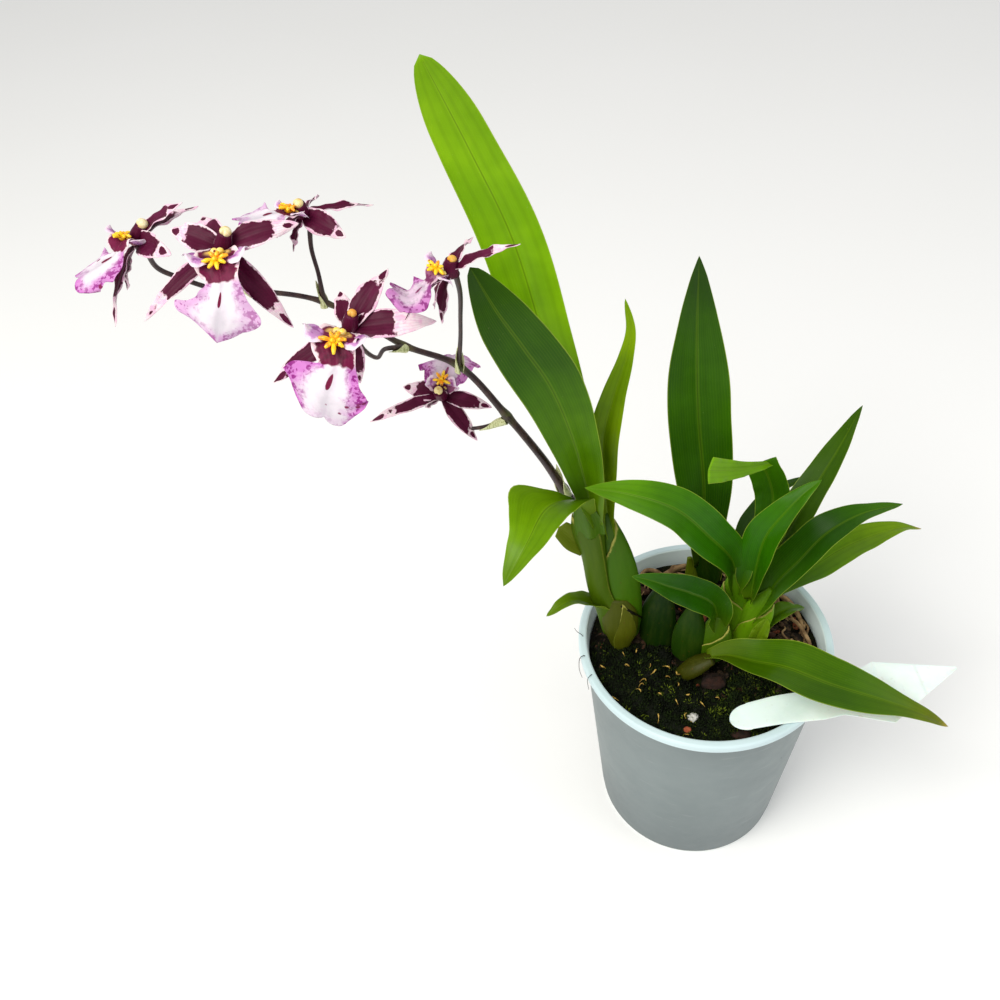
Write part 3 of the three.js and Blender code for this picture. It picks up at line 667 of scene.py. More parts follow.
def plain_finish(name, dark, light, scale, rough, relief=0.0004):
    """Two shades mixed by noise over a bumpy surface."""
    f = Finish(name, Specular_IOR_Level=0.3)
    color = f.mix(f.step(f.noise(scale, 4), 0.36, 0.66), paint(dark), paint(light))
    return f.finish(color, rough, f.noise(scale * 3, 3), distance=relief, strength=0.6)


def moss_finish():
    """Moss shoots: each carries its own shade, from near black to yellow-green."""
    f = Finish("moss", Specular_IOR_Level=0.15)
    shade = f.add("Attribute", {}, output="Fac", attribute_name="shade")
    color = f.mix(f.step(shade, 0.25, 0.95), paint("#070b02"), paint("#1e2e06"))
    color = f.stain(color, "#6d7d1e", f.step(shade, 0.93, 1.0))
    drift = f.step(f.noise(90, 3), 0.45, 0.65)
    color = f.stain(color, "#11180a", drift, 0.5)
    return f.finish(color, 0.75, f.noise(1600, 2), distance=0.0002, strength=0.5)


BED_MIX = bed_finish()
BARK = chip_finish()
MOSS_GREEN = moss_finish()
ROOT_SKIN = plain_finish("root", "#6e5336", "#a98a62", 240, 0.8)
DRY_STALK = plain_finish("dry stalk", "#8f6f2b", "#d8b45a", 900, 0.6, 0.0001)
PERLITE = plain_finish("perlite", "#a9a7a0", "#d9d7d0", 500, 0.85)
WARM_BARK = plain_finish("warm bark", "#140b06", "#301a11", 260, 0.85, 0.0012)
RED_CHIP = plain_finish("red chip", "#7a3420", "#b0603c", 400, 0.85)
print("materials in all:", len(bpy.data.materials))

# %% [markdown]
# ## Camera, light and floor
# The camera looks down on the pot at 45 degrees from close by, so the blooms, which lean towards it, come out
# large. Its place and turn were worked out from the pot's rim and wall. A wide soft light stands high at the
# left front, a weaker one fills from the right, and a pale sky lights the rest.


# %% Camera
# Degrees down and degrees leaned, the lens, and how far the pot's top lies to the side, below and away
CAMERA = dict(tilt=45.4, lean=-5.3, lens=36, aside=97.7, below=65.3, away=478)


def set_camera():
    tilt, lean = np.radians(CAMERA["tilt"]), np.radians(CAMERA["lean"])
    forward = np.array([0, np.cos(tilt), -np.sin(tilt)])
    level = np.array([1.0, 0, 0])
    up = np.cross(level, forward)
    right = level * np.cos(lean) + up * np.sin(lean)
    above = np.cross(right, forward)
    reach = CAMERA["aside"] * right - CAMERA["below"] * above + CAMERA["away"] * forward
    place = np.array([0, 0, POT["height"]]) - reach
    data = bpy.data.cameras.new("camera")
    data.lens = CAMERA["lens"]
    data.sensor_width = 36
    data.clip_start = 0.01
    data.clip_end = 20
    camera = bpy.data.objects.new("camera", data)
    columns = [right, above, -forward, place * MM]
    for row in range(3):
        for column in range(4):
            camera.matrix_world[row][column] = columns[column][row]
    bpy.context.scene.collection.objects.link(camera)
    bpy.context.scene.camera = camera
    return place


print("camera at", np.round(set_camera()).tolist(), "mm")


# %% Light and floor
def soft_light(name, place, aim, size, watts, tint):
    data = bpy.data.lights.new(name, "AREA")
    data.shape = "DISK"
    data.size = size
    data.energy = watts
    data.color = paint(tint)[:3]
    light = bpy.data.objects.new(name, data)
    light.location = place
    light.rotation_euler = (Vector(aim) - Vector(place)).to_track_quat("-Z", "Y").to_euler()
    bpy.context.scene.collection.objects.link(light)


def set_floor():
    bpy.ops.mesh.primitive_plane_add(size=8, location=(0, 0, -0.0002))
    floor = bpy.context.object
    floor.name = "floor"
    finish = Finish("pale floor", Roughness=0.9, Specular_IOR_Level=0.1)
    shade = finish.noise(3, 2)
    floor.data.materials.append(finish.finish(finish.mix(shade, paint("#f9f9f8"), paint("#fcfcfc"))))


soft_light("key", (-0.75, -0.55, 1.35), (-0.03, 0, 0.2), 0.9, 18, "#fffdf6")
soft_light("fill", (1.1, -0.5, 0.9), (0, 0, 0.15), 0.9, 4, "#f7faff")
world = bpy.data.worlds.new("sky")
world.use_nodes = True
world.node_tree.nodes["Background"].inputs["Color"].default_value = (1, 1, 0.99, 1)
world.node_tree.nodes["Background"].inputs["Strength"].default_value = 0.6
bpy.context.scene.world = world
bpy.context.scene.view_settings.view_transform = "Standard"
set_floor()
print("lights:", [light.name for light in bpy.data.lights])

# %% [markdown]
# ## Leaves
# A leaf is a strap that is folded like a gutter at its root and opens towards the tip. One function makes
# every blade of the plant: it walks the midrib, spreads lanes to both sides, and closes a top and an under
# face at the margins. Lanes lie closer near the margins, where the blade thins out. A groove on top and a
# keel below make the midrib.


# %% The blade
def blade(path, widths, fold=(20, 8), stations=80, lanes=25, thick=0.8, rounded=0.06, groove=0.0, keel=0.0,
          curl=0.0, ruffle=0.0, waves=5.0, phase=0.0, wave=0.0, soft=0.1, slant=0.0, lobed=(0, 0), other=None,
          tone=(1, 1, 1, 1), marks=(0, 0, 0, 0), under=(0, 0, 0, 0), **frame_args):
    """A thin sheet along a midrib.

    widths are for both sides, unless other gives those of the side that b points to. rounded is the share of
    the length that narrows to a tip. lobed ends it in two round lobes: how deep the notch is, and how far the
    margins draw back. tone is one colour, or a list of colours from root to tip.
    """
    curve = curve_through(path)
    s = np.linspace(0, 1, stations + 1) ** 0.9
    p, t, b, n = (v[:, None, :] for v in frames(curve, s, **frame_args))
    x = np.sin(np.linspace(-1, 1, lanes) * np.pi / 2)[None, :]
    s = s[:, None]
    angle = np.radians(spread(fold, s))
    tip = np.clip((s - 1 + rounded) / max(rounded, 1e-6), 0, 1)
    half = np.where(x > 0, spread(widths if other is None else other, s), spread(widths, s))
    half = half / 2 * np.maximum(0.03, np.sqrt(1 - tip**2))
    vee = (np.sqrt(x**2 + soft**2) - soft) / (np.sqrt(1 + soft**2) - soft)
    ends = np.clip(np.minimum(8 * s, 6 * (1 - s)), 0, 1)
    rise = vee * half * np.sin(angle) - curl * half * x**4
    rise = rise + wave * x**2 * np.sin(11 * s + np.where(x > 0, 1.3, 0))
    ripple = np.sin(2 * np.pi * waves * s + phase + 2.1 * np.sign(x))
    ripple = ripple + 0.5 * np.sin(13.7 * waves * s + 2 * phase)
    rise = rise + ruffle * np.abs(x) ** 2.5 * ends * ripple
    hollow = -lobed[0] * np.clip(1 - np.abs(x) / 0.5, 0, 1) ** 2
    drawn_back = -lobed[1] * np.clip(np.abs(x) / 0.5 - 1, 0, 1) ** 2.5
    reach = (hollow + drawn_back + slant * x) * np.clip((s - 0.35) / 0.65, 0, 1) ** 1.5
    middle = p + b * (x * half * np.cos(angle))[..., None] + n * rise[..., None] + t * reach[..., None]
    wall = thick / 2 * (1 - 0.8 * x**4) * (1 - 0.6 * tip)
    crease = groove * np.exp(-((x * half / 0.9) ** 2)) * (1 - tip)
    spine = keel * np.exp(-((x * half / 1.2) ** 2)) * (1 - s)
    top = middle + n * (wall - crease)[..., None]
    below = middle - n * (wall + spine)[..., None]
    faces = sheet_faces(stations + 1, lanes)
    points = np.vstack([top.reshape(-1, 3), below.reshape(-1, 3)])
    place = np.stack(np.broadcast_arrays((x + 1) / 2, s), -1).reshape(-1, 2)
    total = len(place)
    rows = np.vstack([np.tile(marks, (total, 1)), np.tile(np.add(marks, under), (total, 1))])
    if np.ndim(tone) == 2:
        along = np.tile(place[:, 1], 2)
        tone = np.stack([spread(channel, along) for channel in np.clip(tone, 0.0001, 1).T], 1).clip(0, 1)
    return part_of(points, faces, np.vstack([place, place]), tone, rows)


plain = blade([(0, 0, 0), (0, 0, 50), (0, 0, 100)], (5, 20, 3))
print("a plain blade has", len(plain[0]), "points and", len(plain[1]), "faces")

# %% [markdown]
# Each leaf has its midrib from root to tip, its widths, how its halves fold up, and its own greens from root
# to tip. Leaves in the shade of others are darker; the tallest one is the brightest.

# %% The leaves
LEAVES = {
    "leaf_tall": dict(
        path=[(-50, 13, 205), (-61, 16, 258), (-70, 19, 301), (-79, 22, 341), (-91, 25, 373),
              (-103, 26, 403)],
        widths=(8, 17, 21.5, 22.5, 22.5, 20, 15), across=0, roll=(0, -4, -8), fold=(50, 20, 12, 10),
        rounded=0.12, tones=("#466a02", "#5f8a04", "#80b20a", "#8bbc0e", "#7aa60a"),
    ),
    "leaf_tall_front": dict(
        path=[(-51, 9, 207), (-61, 4, 261), (-69.5, 0, 292), (-79, -4, 314), (-87, -6, 331), (-94, -3, 346)],
        widths=(7, 15, 19.5, 23, 24, 20, 12), across=10, roll=(0, 6, 10), fold=(50, 24, 14, 12),
        rounded=0.16, tones=("#5c8004", "#568200", "#366000", "#2b4f00"),
    ),
    "leaf_narrow": dict(
        path=[(-42.6, 13, 188), (-45.8, 14.4, 212), (-47, 15, 249), (-43, 18, 269), (-38, 22, 284),
              (-36, 25, 295), (-38, 28, 307)],
        widths=(4, 8, 12, 14, 13, 9, 5, 1.5), across=-15, roll=(0, -5, -10), fold=(50, 30, 20, 10),
        tones=("#6a8604", "#729200", "#789a04"),
    ),
    "leaf_drooping": dict(
        path=[(-54, 7, 215), (-64, -2, 234), (-74, -12, 239.5), (-83, -28, 238), (-93, -38, 227)],
        widths=(6, 14, 21, 23, 18, 10, 1.5), other=(6, 5, 5, 5, 14, 33, 25, 18, 14, 8.5, 1.5),
        across=139, fold=(40, 15, 10),
        tones=("#4f6a04", "#5d8002", "#6a9404", "#668a03"),
    ),
    "leaf_low_left": dict(
        path=[(-46, 10, 145), (-55, 8, 154), (-64, 5, 160), (-75, 0, 157)],
        widths=(9, 12, 10.5, 6.5, 1.5), across=110, roll=(10, 0), fold=(30, 12),
        tones=("#5d6c06", "#628004", "#6c8a08"),
    ),
    "leaf_back": dict(
        path=[(8, 41, 138), (3.5, 42, 191), (-2.5, 42, 236), (-6.5, 41, 280), (-9, 38, 316)],
        widths=(15, 21, 27, 28, 26, 16, 2), across=2, fold=(35, 14, 10, 8),
        tones=("#153400", "#2f5f00", "#356400", "#1f4000"),
    ),
    "leaf_arching": dict(
        path=[(11, 1, 161), (8, -1, 184), (-5, -4, 206), (-21, -6, 227), (-40, -7, 239), (-58, -8, 246)],
        widths=(6, 16, 19, 20, 18, 12, 1.5), face=(0, -0.6, 0.8), fold=(60, 22, 14, 10),
        tones=("#355f00", "#2c6400", "#326f00", "#528a04", "#6a9a08"),
    ),
    "leaf_bent_tip": dict(
        path=[(22, 11, 168), (26.5, 13, 190), (26.3, 13, 206.7), (22.5, 11.5, 221), (17, 9, 234)],
        widths=(6, 15, 16, 15, 14), across=-12, fold=(45, 25, 14, 8), rounded=0, slant=4.5,
        tones=("#285200", "#2e5f00", "#336600"),
    ),
    "leaf_inner_right": dict(
        path=[(18, -3.5, 160), (17.5, -5, 187), (19, -6, 206), (25, -6, 219), (32, -4, 227), (39, -2, 232)],
        widths=(6, 15, 18, 18.5, 15, 9.5, 1.5), across=-60, fold=(45, 22, 14),
        tones=("#3c5c04", "#2a6200", "#306a00", "#447804"),
    ),
    "leaf_upper_right": dict(
        path=[(17, 3, 146), (24, 6, 162), (38, 15, 187), (49, 24, 202), (59, 31, 218), (67, 36, 236)],
        widths=(6, 13, 18, 18, 15, 9.5, 1.5), across=-60, fold=(45, 22, 16),
        tones=("#3c5904", "#385a00", "#365900", "#345600"),
    ),
    "leaf_right": dict(
        path=[(21, -4, 146), (28, -5, 172), (36, -4, 184), (47, -1, 197.5), (62, 3, 203.5), (82, 8, 202)],
        widths=(7, 18, 21, 20, 16, 8.5, 1.5), across=-75, fold=(45, 22, 14),
        tones=("#4d7800", "#2f5c00", "#265500", "#45720a"),
    ),
    "leaf_far_right": dict(
        path=[(21, 0, 139), (30, 8, 147), (54, 18, 153), (70, 25, 156), (88, 31, 157), (100, 34, 156.5),
              (112, 36, 152)],
        widths=(6, 14, 20, 20, 17, 9, 1.5), across=-60, fold=(40, 18, 14),
        tones=("#4f7802", "#5e8e02", "#6c920a", "#6f8d10"), dry=1,
    ),
    "leaf_behind": dict(
        path=[(20, 30, 122), (23, 31, 165), (33, 32, 190), (49, 34, 198)],
        widths=(6, 11, 12, 9, 1.5), across=-90, fold=(40, 18),
        tones=("#1d3c02", "#224802"),
    ),
    "leaf_low_front": dict(
        path=[(4, -5, 142), (0, -7, 163), (-12, -11, 178), (-23, -15, 189), (-32, -18, 198), (-40, -20, 204)],
        widths=(6, 14, 16, 15.5, 13, 8, 1.5), face=(0, -0.6, 0.8), fold=(45, 18, 12),
        tones=("#3f6004", "#265900", "#245b00", "#356604"),
    ),
    "leaf_small_right": dict(
        path=[(23, -3, 132), (30, -2, 142), (38, 1, 144), (48, 5, 139)],
        widths=(6, 11, 10, 6, 1.5), across=-75, fold=(35, 12),
        tones=("#557404", "#507406", "#527804"),
    ),
    "bract_right": dict(
        path=[(21, -9, 130), (22, -10, 142), (25, -9, 152)],
        widths=(4, 8, 8, 5), across=-15, fold=(20, 20), rounded=0.25,
        tones=("#64800a", "#6c8c12"),
    ),
    "leaf_front": dict(
        path=[(-2.4, -15.6, 135.2), (6, -19, 140), (16, -27, 145), (27, -35, 150), (44, -45, 149),
              (65, -51, 143), (82, -54, 135), (98, -55, 122)],
        widths=(7, 17, 24, 28, 25, 19.5, 11.5, 6, 1.5), across=-125, fold=(40, 18, 12, 12),
        tones=("#536804", "#446800", "#416600", "#3e6300", "#587004", "#8c8a0c"), dry=1,
    ),
}
print("drawn:", len(LEAVES), "leaves")

# %% [markdown]
# One leaf folds back on itself near its tip. A midrib path can't turn so sharply without pinching the blade,
# so the folded end is a second blade that starts at the fold. All leaves share one thickness, groove and
# keel. The number of stations grows with the length, so that short leaves aren't heavy.

# %% Leaf blades
FOLDED_ENDS = {
    "leaf_bent_tip": dict(
        path=[(24, 9.5, 233), (9, 2, 238.4), (-2, -4, 244.4), (-9.9, -9, 250.2)],
        widths=(1.5, 4, 6.5, 9, 10.5), face=(0.1, -0.75, 0.65), fold=(20, 14, 10), rounded=0, slant=-1.2,
        tones=("#5c8a06", "#62900a", "#70a208"),
    ),
}
LEAF_SHAPE = dict(lanes=27, thick=0.75, groove=0.28, keel=0.5, ruffle=0.35, soft=0.16, under=(1, 0, 0, 0))


def leaf_blade(spec, order):
    spec = dict(spec)
    shades = np.array([paint(code) for code in spec.pop("tones")])
    marks = (0, spec.pop("dry", 0), 0, 0)
    stations = int(24 + 60 * min(1, curve_through(spec["path"])[2] / 150))
    return blade(**spec, **LEAF_SHAPE, stations=stations, waves=2.3 + 0.3 * (order % 4), phase=1.7 * order,
                 tone=shades, marks=marks)


for order, (name, spec) in enumerate(LEAVES.items()):
    parts = [leaf_blade(spec, order)]
    if name in FOLDED_ENDS:
        parts.append(leaf_blade(FOLDED_ENDS[name], order))
    piece = make_piece(name + "_blade", parts, LEAF_SKIN, "leaf", name)
print(len(LEAVES), "leaves, the last with", len(piece.data.polygons), "faces")

# %% [markdown]
# ## Bulbs and sheaths
# An oncidium stores water in flattened bulbs. Young growths are wrapped in the folded bases of their leaves,
# one round the other. A bulb could be a squashed ball, but it has an edge on both sides. So it is a stack of
# lens-shaped rings along a path. The same function makes the columns of the blooms and the crest's teeth.


# %% Stems and bulbs
def stem(path, radii, flat=(1, 1), stations=40, sides=28, lens=1.0, ridges=0.0, tone=(1, 1, 1, 1),
         marks=(0, 0, 0, 0), **frame_args):
    """A round or flattened body along a path. lens over 1 sharpens its two edges."""
    curve = curve_through(path)
    s = np.linspace(0, 1, stations + 1)
    p, _, b, n = (v[:, None, :] for v in frames(curve, s, **frame_args))
    a = -np.arange(sides) / sides * 2 * np.pi
    wide = spread(radii, s)[:, None]
    deep = wide * spread(flat, s)[:, None]
    height = np.sign(np.sin(a)) * np.abs(np.sin(a)) ** lens
    grain = 1 + ridges * np.cos(9 * a)[None, :] * np.sin(np.pi * s)[:, None]
    rings = p + b * (wide * grain * np.cos(a))[..., None] + n * (deep * grain * height)[..., None]
    place = np.stack(np.broadcast_arrays(np.abs(a / np.pi + 1)[None, :], s[:, None]), -1).reshape(-1, 2)
    return part_of(rings.reshape(-1, 3), skin(rings), place, tone, marks)


straight = stem([(0, 0, 0), (0, 0, 10), (0, 0, 20)], (2, 3, 1))
print("a plain stem has", len(straight[0]), "points")

# %% [markdown]
# A sheath is a thin sheet wrapped part of the way round such a stack, a little off its surface, with an upper
# edge that stands higher in the middle. It takes the same path and radii as the stem that it clasps, so the
# two can't drift apart.


# %% Sheaths
def wrap(path, radii, flat, middle, opening, off=0.15, thick=0.35, end=1.0, peak=0.12, stations=40, lanes=33,
         tone=(1, 1, 1, 1), marks=(1, 0, 0, 0), **frame_args):
    """A sheath round a stem: middle is the angle of its back, opening how far it reaches to each side."""
    curve = curve_through(path)
    share = np.linspace(0, 1, stations + 1)[:, None]
    x = np.linspace(-1, 1, lanes)[None, :]
    s = share * end * (1 - peak * np.abs(x) ** 1.5 + 0.006 * np.sin(23 * x) * share)
    reach = np.radians(spread(opening, share))
    angle = np.radians(middle) + x * reach
    p, _, b, n = (v.reshape(stations + 1, lanes, 3) for v in frames(curve, s.ravel(), **frame_args))
    wide = spread(radii, s)
    deep = wide * spread(flat, s)
    layers = []
    for lift in (off + thick, off):
        sideways = b * ((wide + lift) * np.cos(angle))[..., None]
        layers.append(p + sideways + n * ((deep + lift) * np.sin(angle))[..., None])
    faces = sheet_faces(stations + 1, lanes, flipped=True)
    points = np.vstack([layer.reshape(-1, 3) for layer in layers])
    place = np.stack(np.broadcast_arrays((x + 1) / 2, share), -1).reshape(-1, 2)
    return part_of(points, faces, np.vstack([place, place]), tone, marks)


cuff = wrap([(0, 0, 0), (0, 0, 10), (0, 0, 20)], (3, 3), (1, 1), 0, (90, 60))
print("a plain sheath has", len(cuff[0]), "points")

# %% [markdown]
# Each growth is given by its stems, from the mix upwards: a path, how wide it is there, how flat, which way
# its broad side looks, and its green. The bulbs in the shade are nearly black.

# %% Growths
GROWTHS = {
    "growth_left": (
        dict(path=[(-39.6, 5, 115), (-39.6, 5.5, 123), (-39.6, 6.5, 132), (-39.8, 7.5, 143), (-41, 9, 154)],
             radii=(2, 5.0, 8.2, 8.4, 5.5), flat=(0.6, 0.66, 0.62, 0.5, 0.5), across=-15, tone="#444b04"),
        dict(path=[(-42, 9.5, 128), (-45, 10, 146), (-48.8, 11, 160.3), (-51.5, 12, 182.7),
                   (-55, 12.5, 204.3), (-57.4, 13, 220)],
             radii=(5, 5.6, 5.2, 5.4, 6.6, 1.6), flat=(0.5, 0.5, 0.5, 0.5, 0.5, 0.8), across=-15,
             tone="#466103"),
        dict(path=[(-34.8, 11, 120), (-34.8, 11, 131), (-36.6, 10, 149.3), (-39.8, 11, 173.9),
                   (-42.9, 13, 190.5), (-46.4, 15, 207)],
             radii=(4, 6.2, 7.2, 7.2, 5.4, 1.6), flat=(0.5, 0.45, 0.4, 0.36, 0.36, 0.8), across=-10,
             tone="#375b00"),
    ),
    "bulb_middle_left": (
        dict(path=[(-22, 4, 106), (-22, 5, 124), (-21, 8, 144), (-18, 11, 160)], radii=(5.5, 8.2, 8.3, 2.5),
             flat=(0.45, 0.42, 0.42, 0.6), across=-25, tone="#112a02"),
    ),
    "bulb_middle_right": (
        dict(path=[(-9, -4.5, 108), (-9, -4.5, 124), (-8, -3, 142), (-6, 0, 156)], radii=(4.5, 7.6, 7.5, 2.5),
             flat=(0.45, 0.42, 0.42, 0.6), across=-25, tone="#1d3a02"),
    ),
    "growth_back": (
        dict(path=[(10, 41, 108), (10, 41, 122), (9, 41, 138), (8, 41, 154)], radii=(5.5, 7.5, 7.6, 2),
             flat=(0.5, 0.5, 0.4, 0.5), across=0, tone="#1d3c02"),
        dict(path=[(3, 39, 110), (2, 39, 126), (0, 40, 142)], radii=(3, 3.6, 1.2),
             flat=(0.7, 0.7, 0.7), across=0, tone="#5f6f0c"),
    ),
    "growth_right": (
        dict(path=[(17, 0, 108), (17, 1, 124), (14, 1, 144), (11, 1, 160), (9, 0, 176)],
             radii=(4.5, 6.5, 7.5, 6, 1.4), flat=(0.7, 0.6, 0.42, 0.36, 0.8), across=-10, tone="#507c00"),
        dict(path=[(17, -1, 110), (18, -2, 126), (20, -4, 142), (23, -5, 158), (26, -5, 168)],
             radii=(4, 6.5, 7, 6.5, 1.4), flat=(0.7, 0.6, 0.42, 0.36, 0.8), across=-30, tone="#588404"),
    ),
    "growth_low_front": (
        dict(path=[(2, -5, 110), (2, -5, 124), (3, -5, 138), (4, -5, 152)], radii=(3.5, 6.4, 7.6, 2.5),
             flat=(0.75, 0.75, 0.62, 0.6), across=-15, tone="#3f6002"),
    ),
    "bulb_front": (
        dict(path=[(-19, -14, 115), (-14, -15, 122), (-7, -16, 130), (0, -16, 135)],
             radii=(1.5, 4.2, 5.8, 3.8), flat=(0.8, 0.8, 0.7, 0.6), across=70, tone="#353802"),
    ),
}

# Growth, which of its stems, angle of the sheath's back, openings, how far up, how far its middle stands up
SHEATHS = [
    ("growth_left", 0, 62, (62, 50, 26), 0.97, 0.3, "#4f5407"),
    ("growth_left", 1, 180, (150, 150, 140), 0.88, 0.05, "#466103"),
    ("growth_left", 2, 0, (165, 160, 150), 0.95, 0.3, "#3d6500"),
    ("growth_right", 0, 180, (165, 155, 140), 0.9, 0.4, "#5d8c02"),
    ("growth_right", 1, 0, (165, 150, 135), 0.88, 0.4, "#689606"),
    ("growth_low_front", 0, 0, (160, 150, 130), 0.86, 0.35, "#426602"),
    ("growth_back", 0, -90, (140, 120, 90), 0.75, 0.3, "#264a04"),
]
print("drawn:", len(GROWTHS), "growths with", len(SHEATHS), "sheaths")

# %% [markdown]
# The left growth has three small things of its own: a short bract that stands behind the drooping leaf, a
# hood from which that leaf comes out, and a dry, blackened scar where an old sheath tore off its bulb.

# %% Growth pieces
SMALL_BRACT = dict(path=[(-56, 14, 185), (-61.5, 13, 194.5), (-67, 12, 203)], widths=(7, 11, 8),
                   face=(0, -0.7, 0.71), fold=(20, 10), lanes=15, stations=20)
HOOD = dict(path=[(-53.5, 8, 198), (-54.5, 6.8, 207), (-56.6, 6, 218), (-59.3, 6, 228)],
            widths=(14.5, 14, 9, 1.5), across=-8, curl=-0.25, fold=(-30, -25, -10), lanes=21, stations=30)
SCAR = dict(path=[(-39.7, 5.5, 152.4), (-35, 4.5, 148.5), (-29.8, 6.5, 141.3)], radii=(0.5, 0.75, 0.5),
            stations=16, sides=10)
ROUND_BULB, SHARP_BULB = 1.1, 1.35


def make_growth(name, stems):
    parts = []
    for spec in stems:
        spec = dict(spec, tone=paint(spec["tone"]))
        lens = SHARP_BULB if name.startswith("bulb_middle") else ROUND_BULB
        parts.append(stem(**spec, stations=48, sides=40, lens=lens, ridges=0.012))
    for growth, which, middle, opening, end, peak, tone in SHEATHS:
        if growth == name:
            spec = dict(stems[which], tone=paint(tone))
            parts.append(wrap(**spec, middle=middle, opening=opening, end=end, peak=peak))
    if name == "growth_left":
        parts.append(blade(**SMALL_BRACT, tone=paint("#6a7a12")))
        parts.append(blade(**HOOD, tone=paint("#456a02")))
        parts.append(stem(**SCAR, tone=paint("#120d05")))
    return make_piece(name + "_skin", parts, GROWTH_SKIN, "growth", name)


for name, stems in GROWTHS.items():
    piece = make_growth(name, stems)
print(len(GROWTHS), "growths, the last with", len(piece.data.polygons), "faces")

# %% [markdown]
# ## Blooms
# A bloom has five tepals, a wide lip, a column with a pale cap, and an orange crest of blunt teeth on the
# lip. One bloom could be made and copied six times, but on the plant each turns its own way and no two look
# alike. So each is given by its heart, the way it faces, the tips of its tepals with their widths, the path
# of its lip, and how far the lilac reaches on the left, the right and the end of that lip.

# %% How the blooms stand
# pale lists the tepals whose far half is pale, flush says how mauve the face of a lip is, and skip is the
# share of the lip's pattern that is left out at its root
BLOOMS = {
    1: dict(
        at=(-205, 24, 351), face=(-0.6, -0.3, 0.75), cap=(-201, 24, 358),
        tips=[(-187, 27, 362, 6), (-184, 33, 357, 6), (-190, 8, 354, 8.5), (-216, 6, 330, 6),
              (-213, 20, 335, 6)],
        lip=[(-206, 23, 350), (-208, 18, 355), (-210, 13, 353), (-216, 10, 351), (-224, 8, 348)],
        mottle=(0.7, 0.9, 1.0),
    ),
    2: dict(
        at=(-172, 4, 357), face=(-0.1, -0.6, 0.8), cap=(-169, 3, 364),
        tips=[(-180, 20, 360, 8), (-189, 12, 361, 9), (-147, 8, 361, 8.5), (-201, -6, 339, 5.6),
              (-153, -10, 334, 7.5)],
        lip=[(-173, 2, 357), (-172, -6, 358), (-171, -12, 354), (-173, -16, 347), (-177, -16, 335)],
        mottle=(0.65, 0.6, 0.7),
    ),
    3: dict(
        at=(-148, 26, 354), face=(-0.55, -0.3, 0.8), cap=(-149, 24, 360),
        tips=[(-144, 40, 353, 5), (-125, 32, 352, 4.5), (-134, 14, 351, 8.5), (-153, 18, 345, 4),
              (-160, 30, 344, 5)],
        lip=[(-149, 25, 355), (-153, 21, 358), (-156, 18, 360), (-161, 16, 360), (-168, 13, 361)],
        mottle=(0.6, 0.6, 1.0),
    ),
    4: dict(
        at=(-134, -16, 336), face=(-0.1, -0.65, 0.75), cap=(-132, -17, 343),
        tips=[(-137, -2, 341, 6.5), (-120, -4, 349, 8.5), (-106, -18, 337, 9.5), (-162, -20, 320, 6.5),
              (-134, -18, 315, 7)],
        lip=[(-136, -18, 336), (-138, -26, 338), (-138, -32, 334), (-142, -36, 326), (-146, -34, 313)],
        mottle=(1.0, 1.0, 0.25), pale=(2,),
    ),
    5: dict(
        at=(-100, -12, 351), face=(-0.6, -0.35, 0.75), cap=(-99, -12, 356),
        tips=[(-92, 2, 354, 5), (-78, -19, 362.5, 3.4), (-116, -25, 342, 2.6), (-107, -7, 334, 4),
              (-104.5, -17, 335, 5)],
        lip=[(-102, -14.6, 351.4), (-105, -18, 355), (-108, -21, 353), (-113, -21.5, 349.5),
             (-119, -20, 353)],
        mottle=(1.0, 1.0, 1.0), flush=0.55,
    ),
    6: dict(
        at=(-110, 22, 274), face=(-0.2, -0.55, 0.8), cap=(-111, 17, 281),
        tips=[(-125, 26, 277, 8), (-139, 16, 269, 5), (-98, 14, 256, 6.5), (-91, 18, 269, 6.5),
              (-118, 31, 262, 6)],
        lip=[(-109, 22, 276), (-109, 22.5, 281), (-107.5, 25, 283.5), (-106, 31, 283.5), (-104.5, 39, 281)],
        mottle=(1.0, 1.0, 0.8), flush=0.45, skip=0.3,
    ),
}
BLOOM_SEED = 20
print("drawn:", len(BLOOMS), "blooms with", sum(len(bloom["tips"]) for bloom in BLOOMS.values()), "tepals")

# %% [markdown]
# ### Tepals and column
# Every tepal is a blade that rises a little from the heart before it reaches its tip. A seeded draw gives it
# its own ripple, twist and blotch. The column is a short thick stem in the middle, and its foot is the ovary
# that the stalk carries.

# %% Tepals
# A pale tepal has its pale part from here on, and its blotch lies past the tip
PALE_FROM, PAST_TIP = 0.52, 1.6
OVARY = 3
TEPAL_WIDTHS = np.array([0.4, 0.85, 1.05, 0.9, 0.55, 0.1])
TEPAL_SHAPE = dict(fold=(28, 14, 8, -6), stations=48, lanes=21, thick=0.5, groove=0.12, keel=0.3, ruffle=0.55,
                   curl=0.1, under=(0, 0, 0, 1))


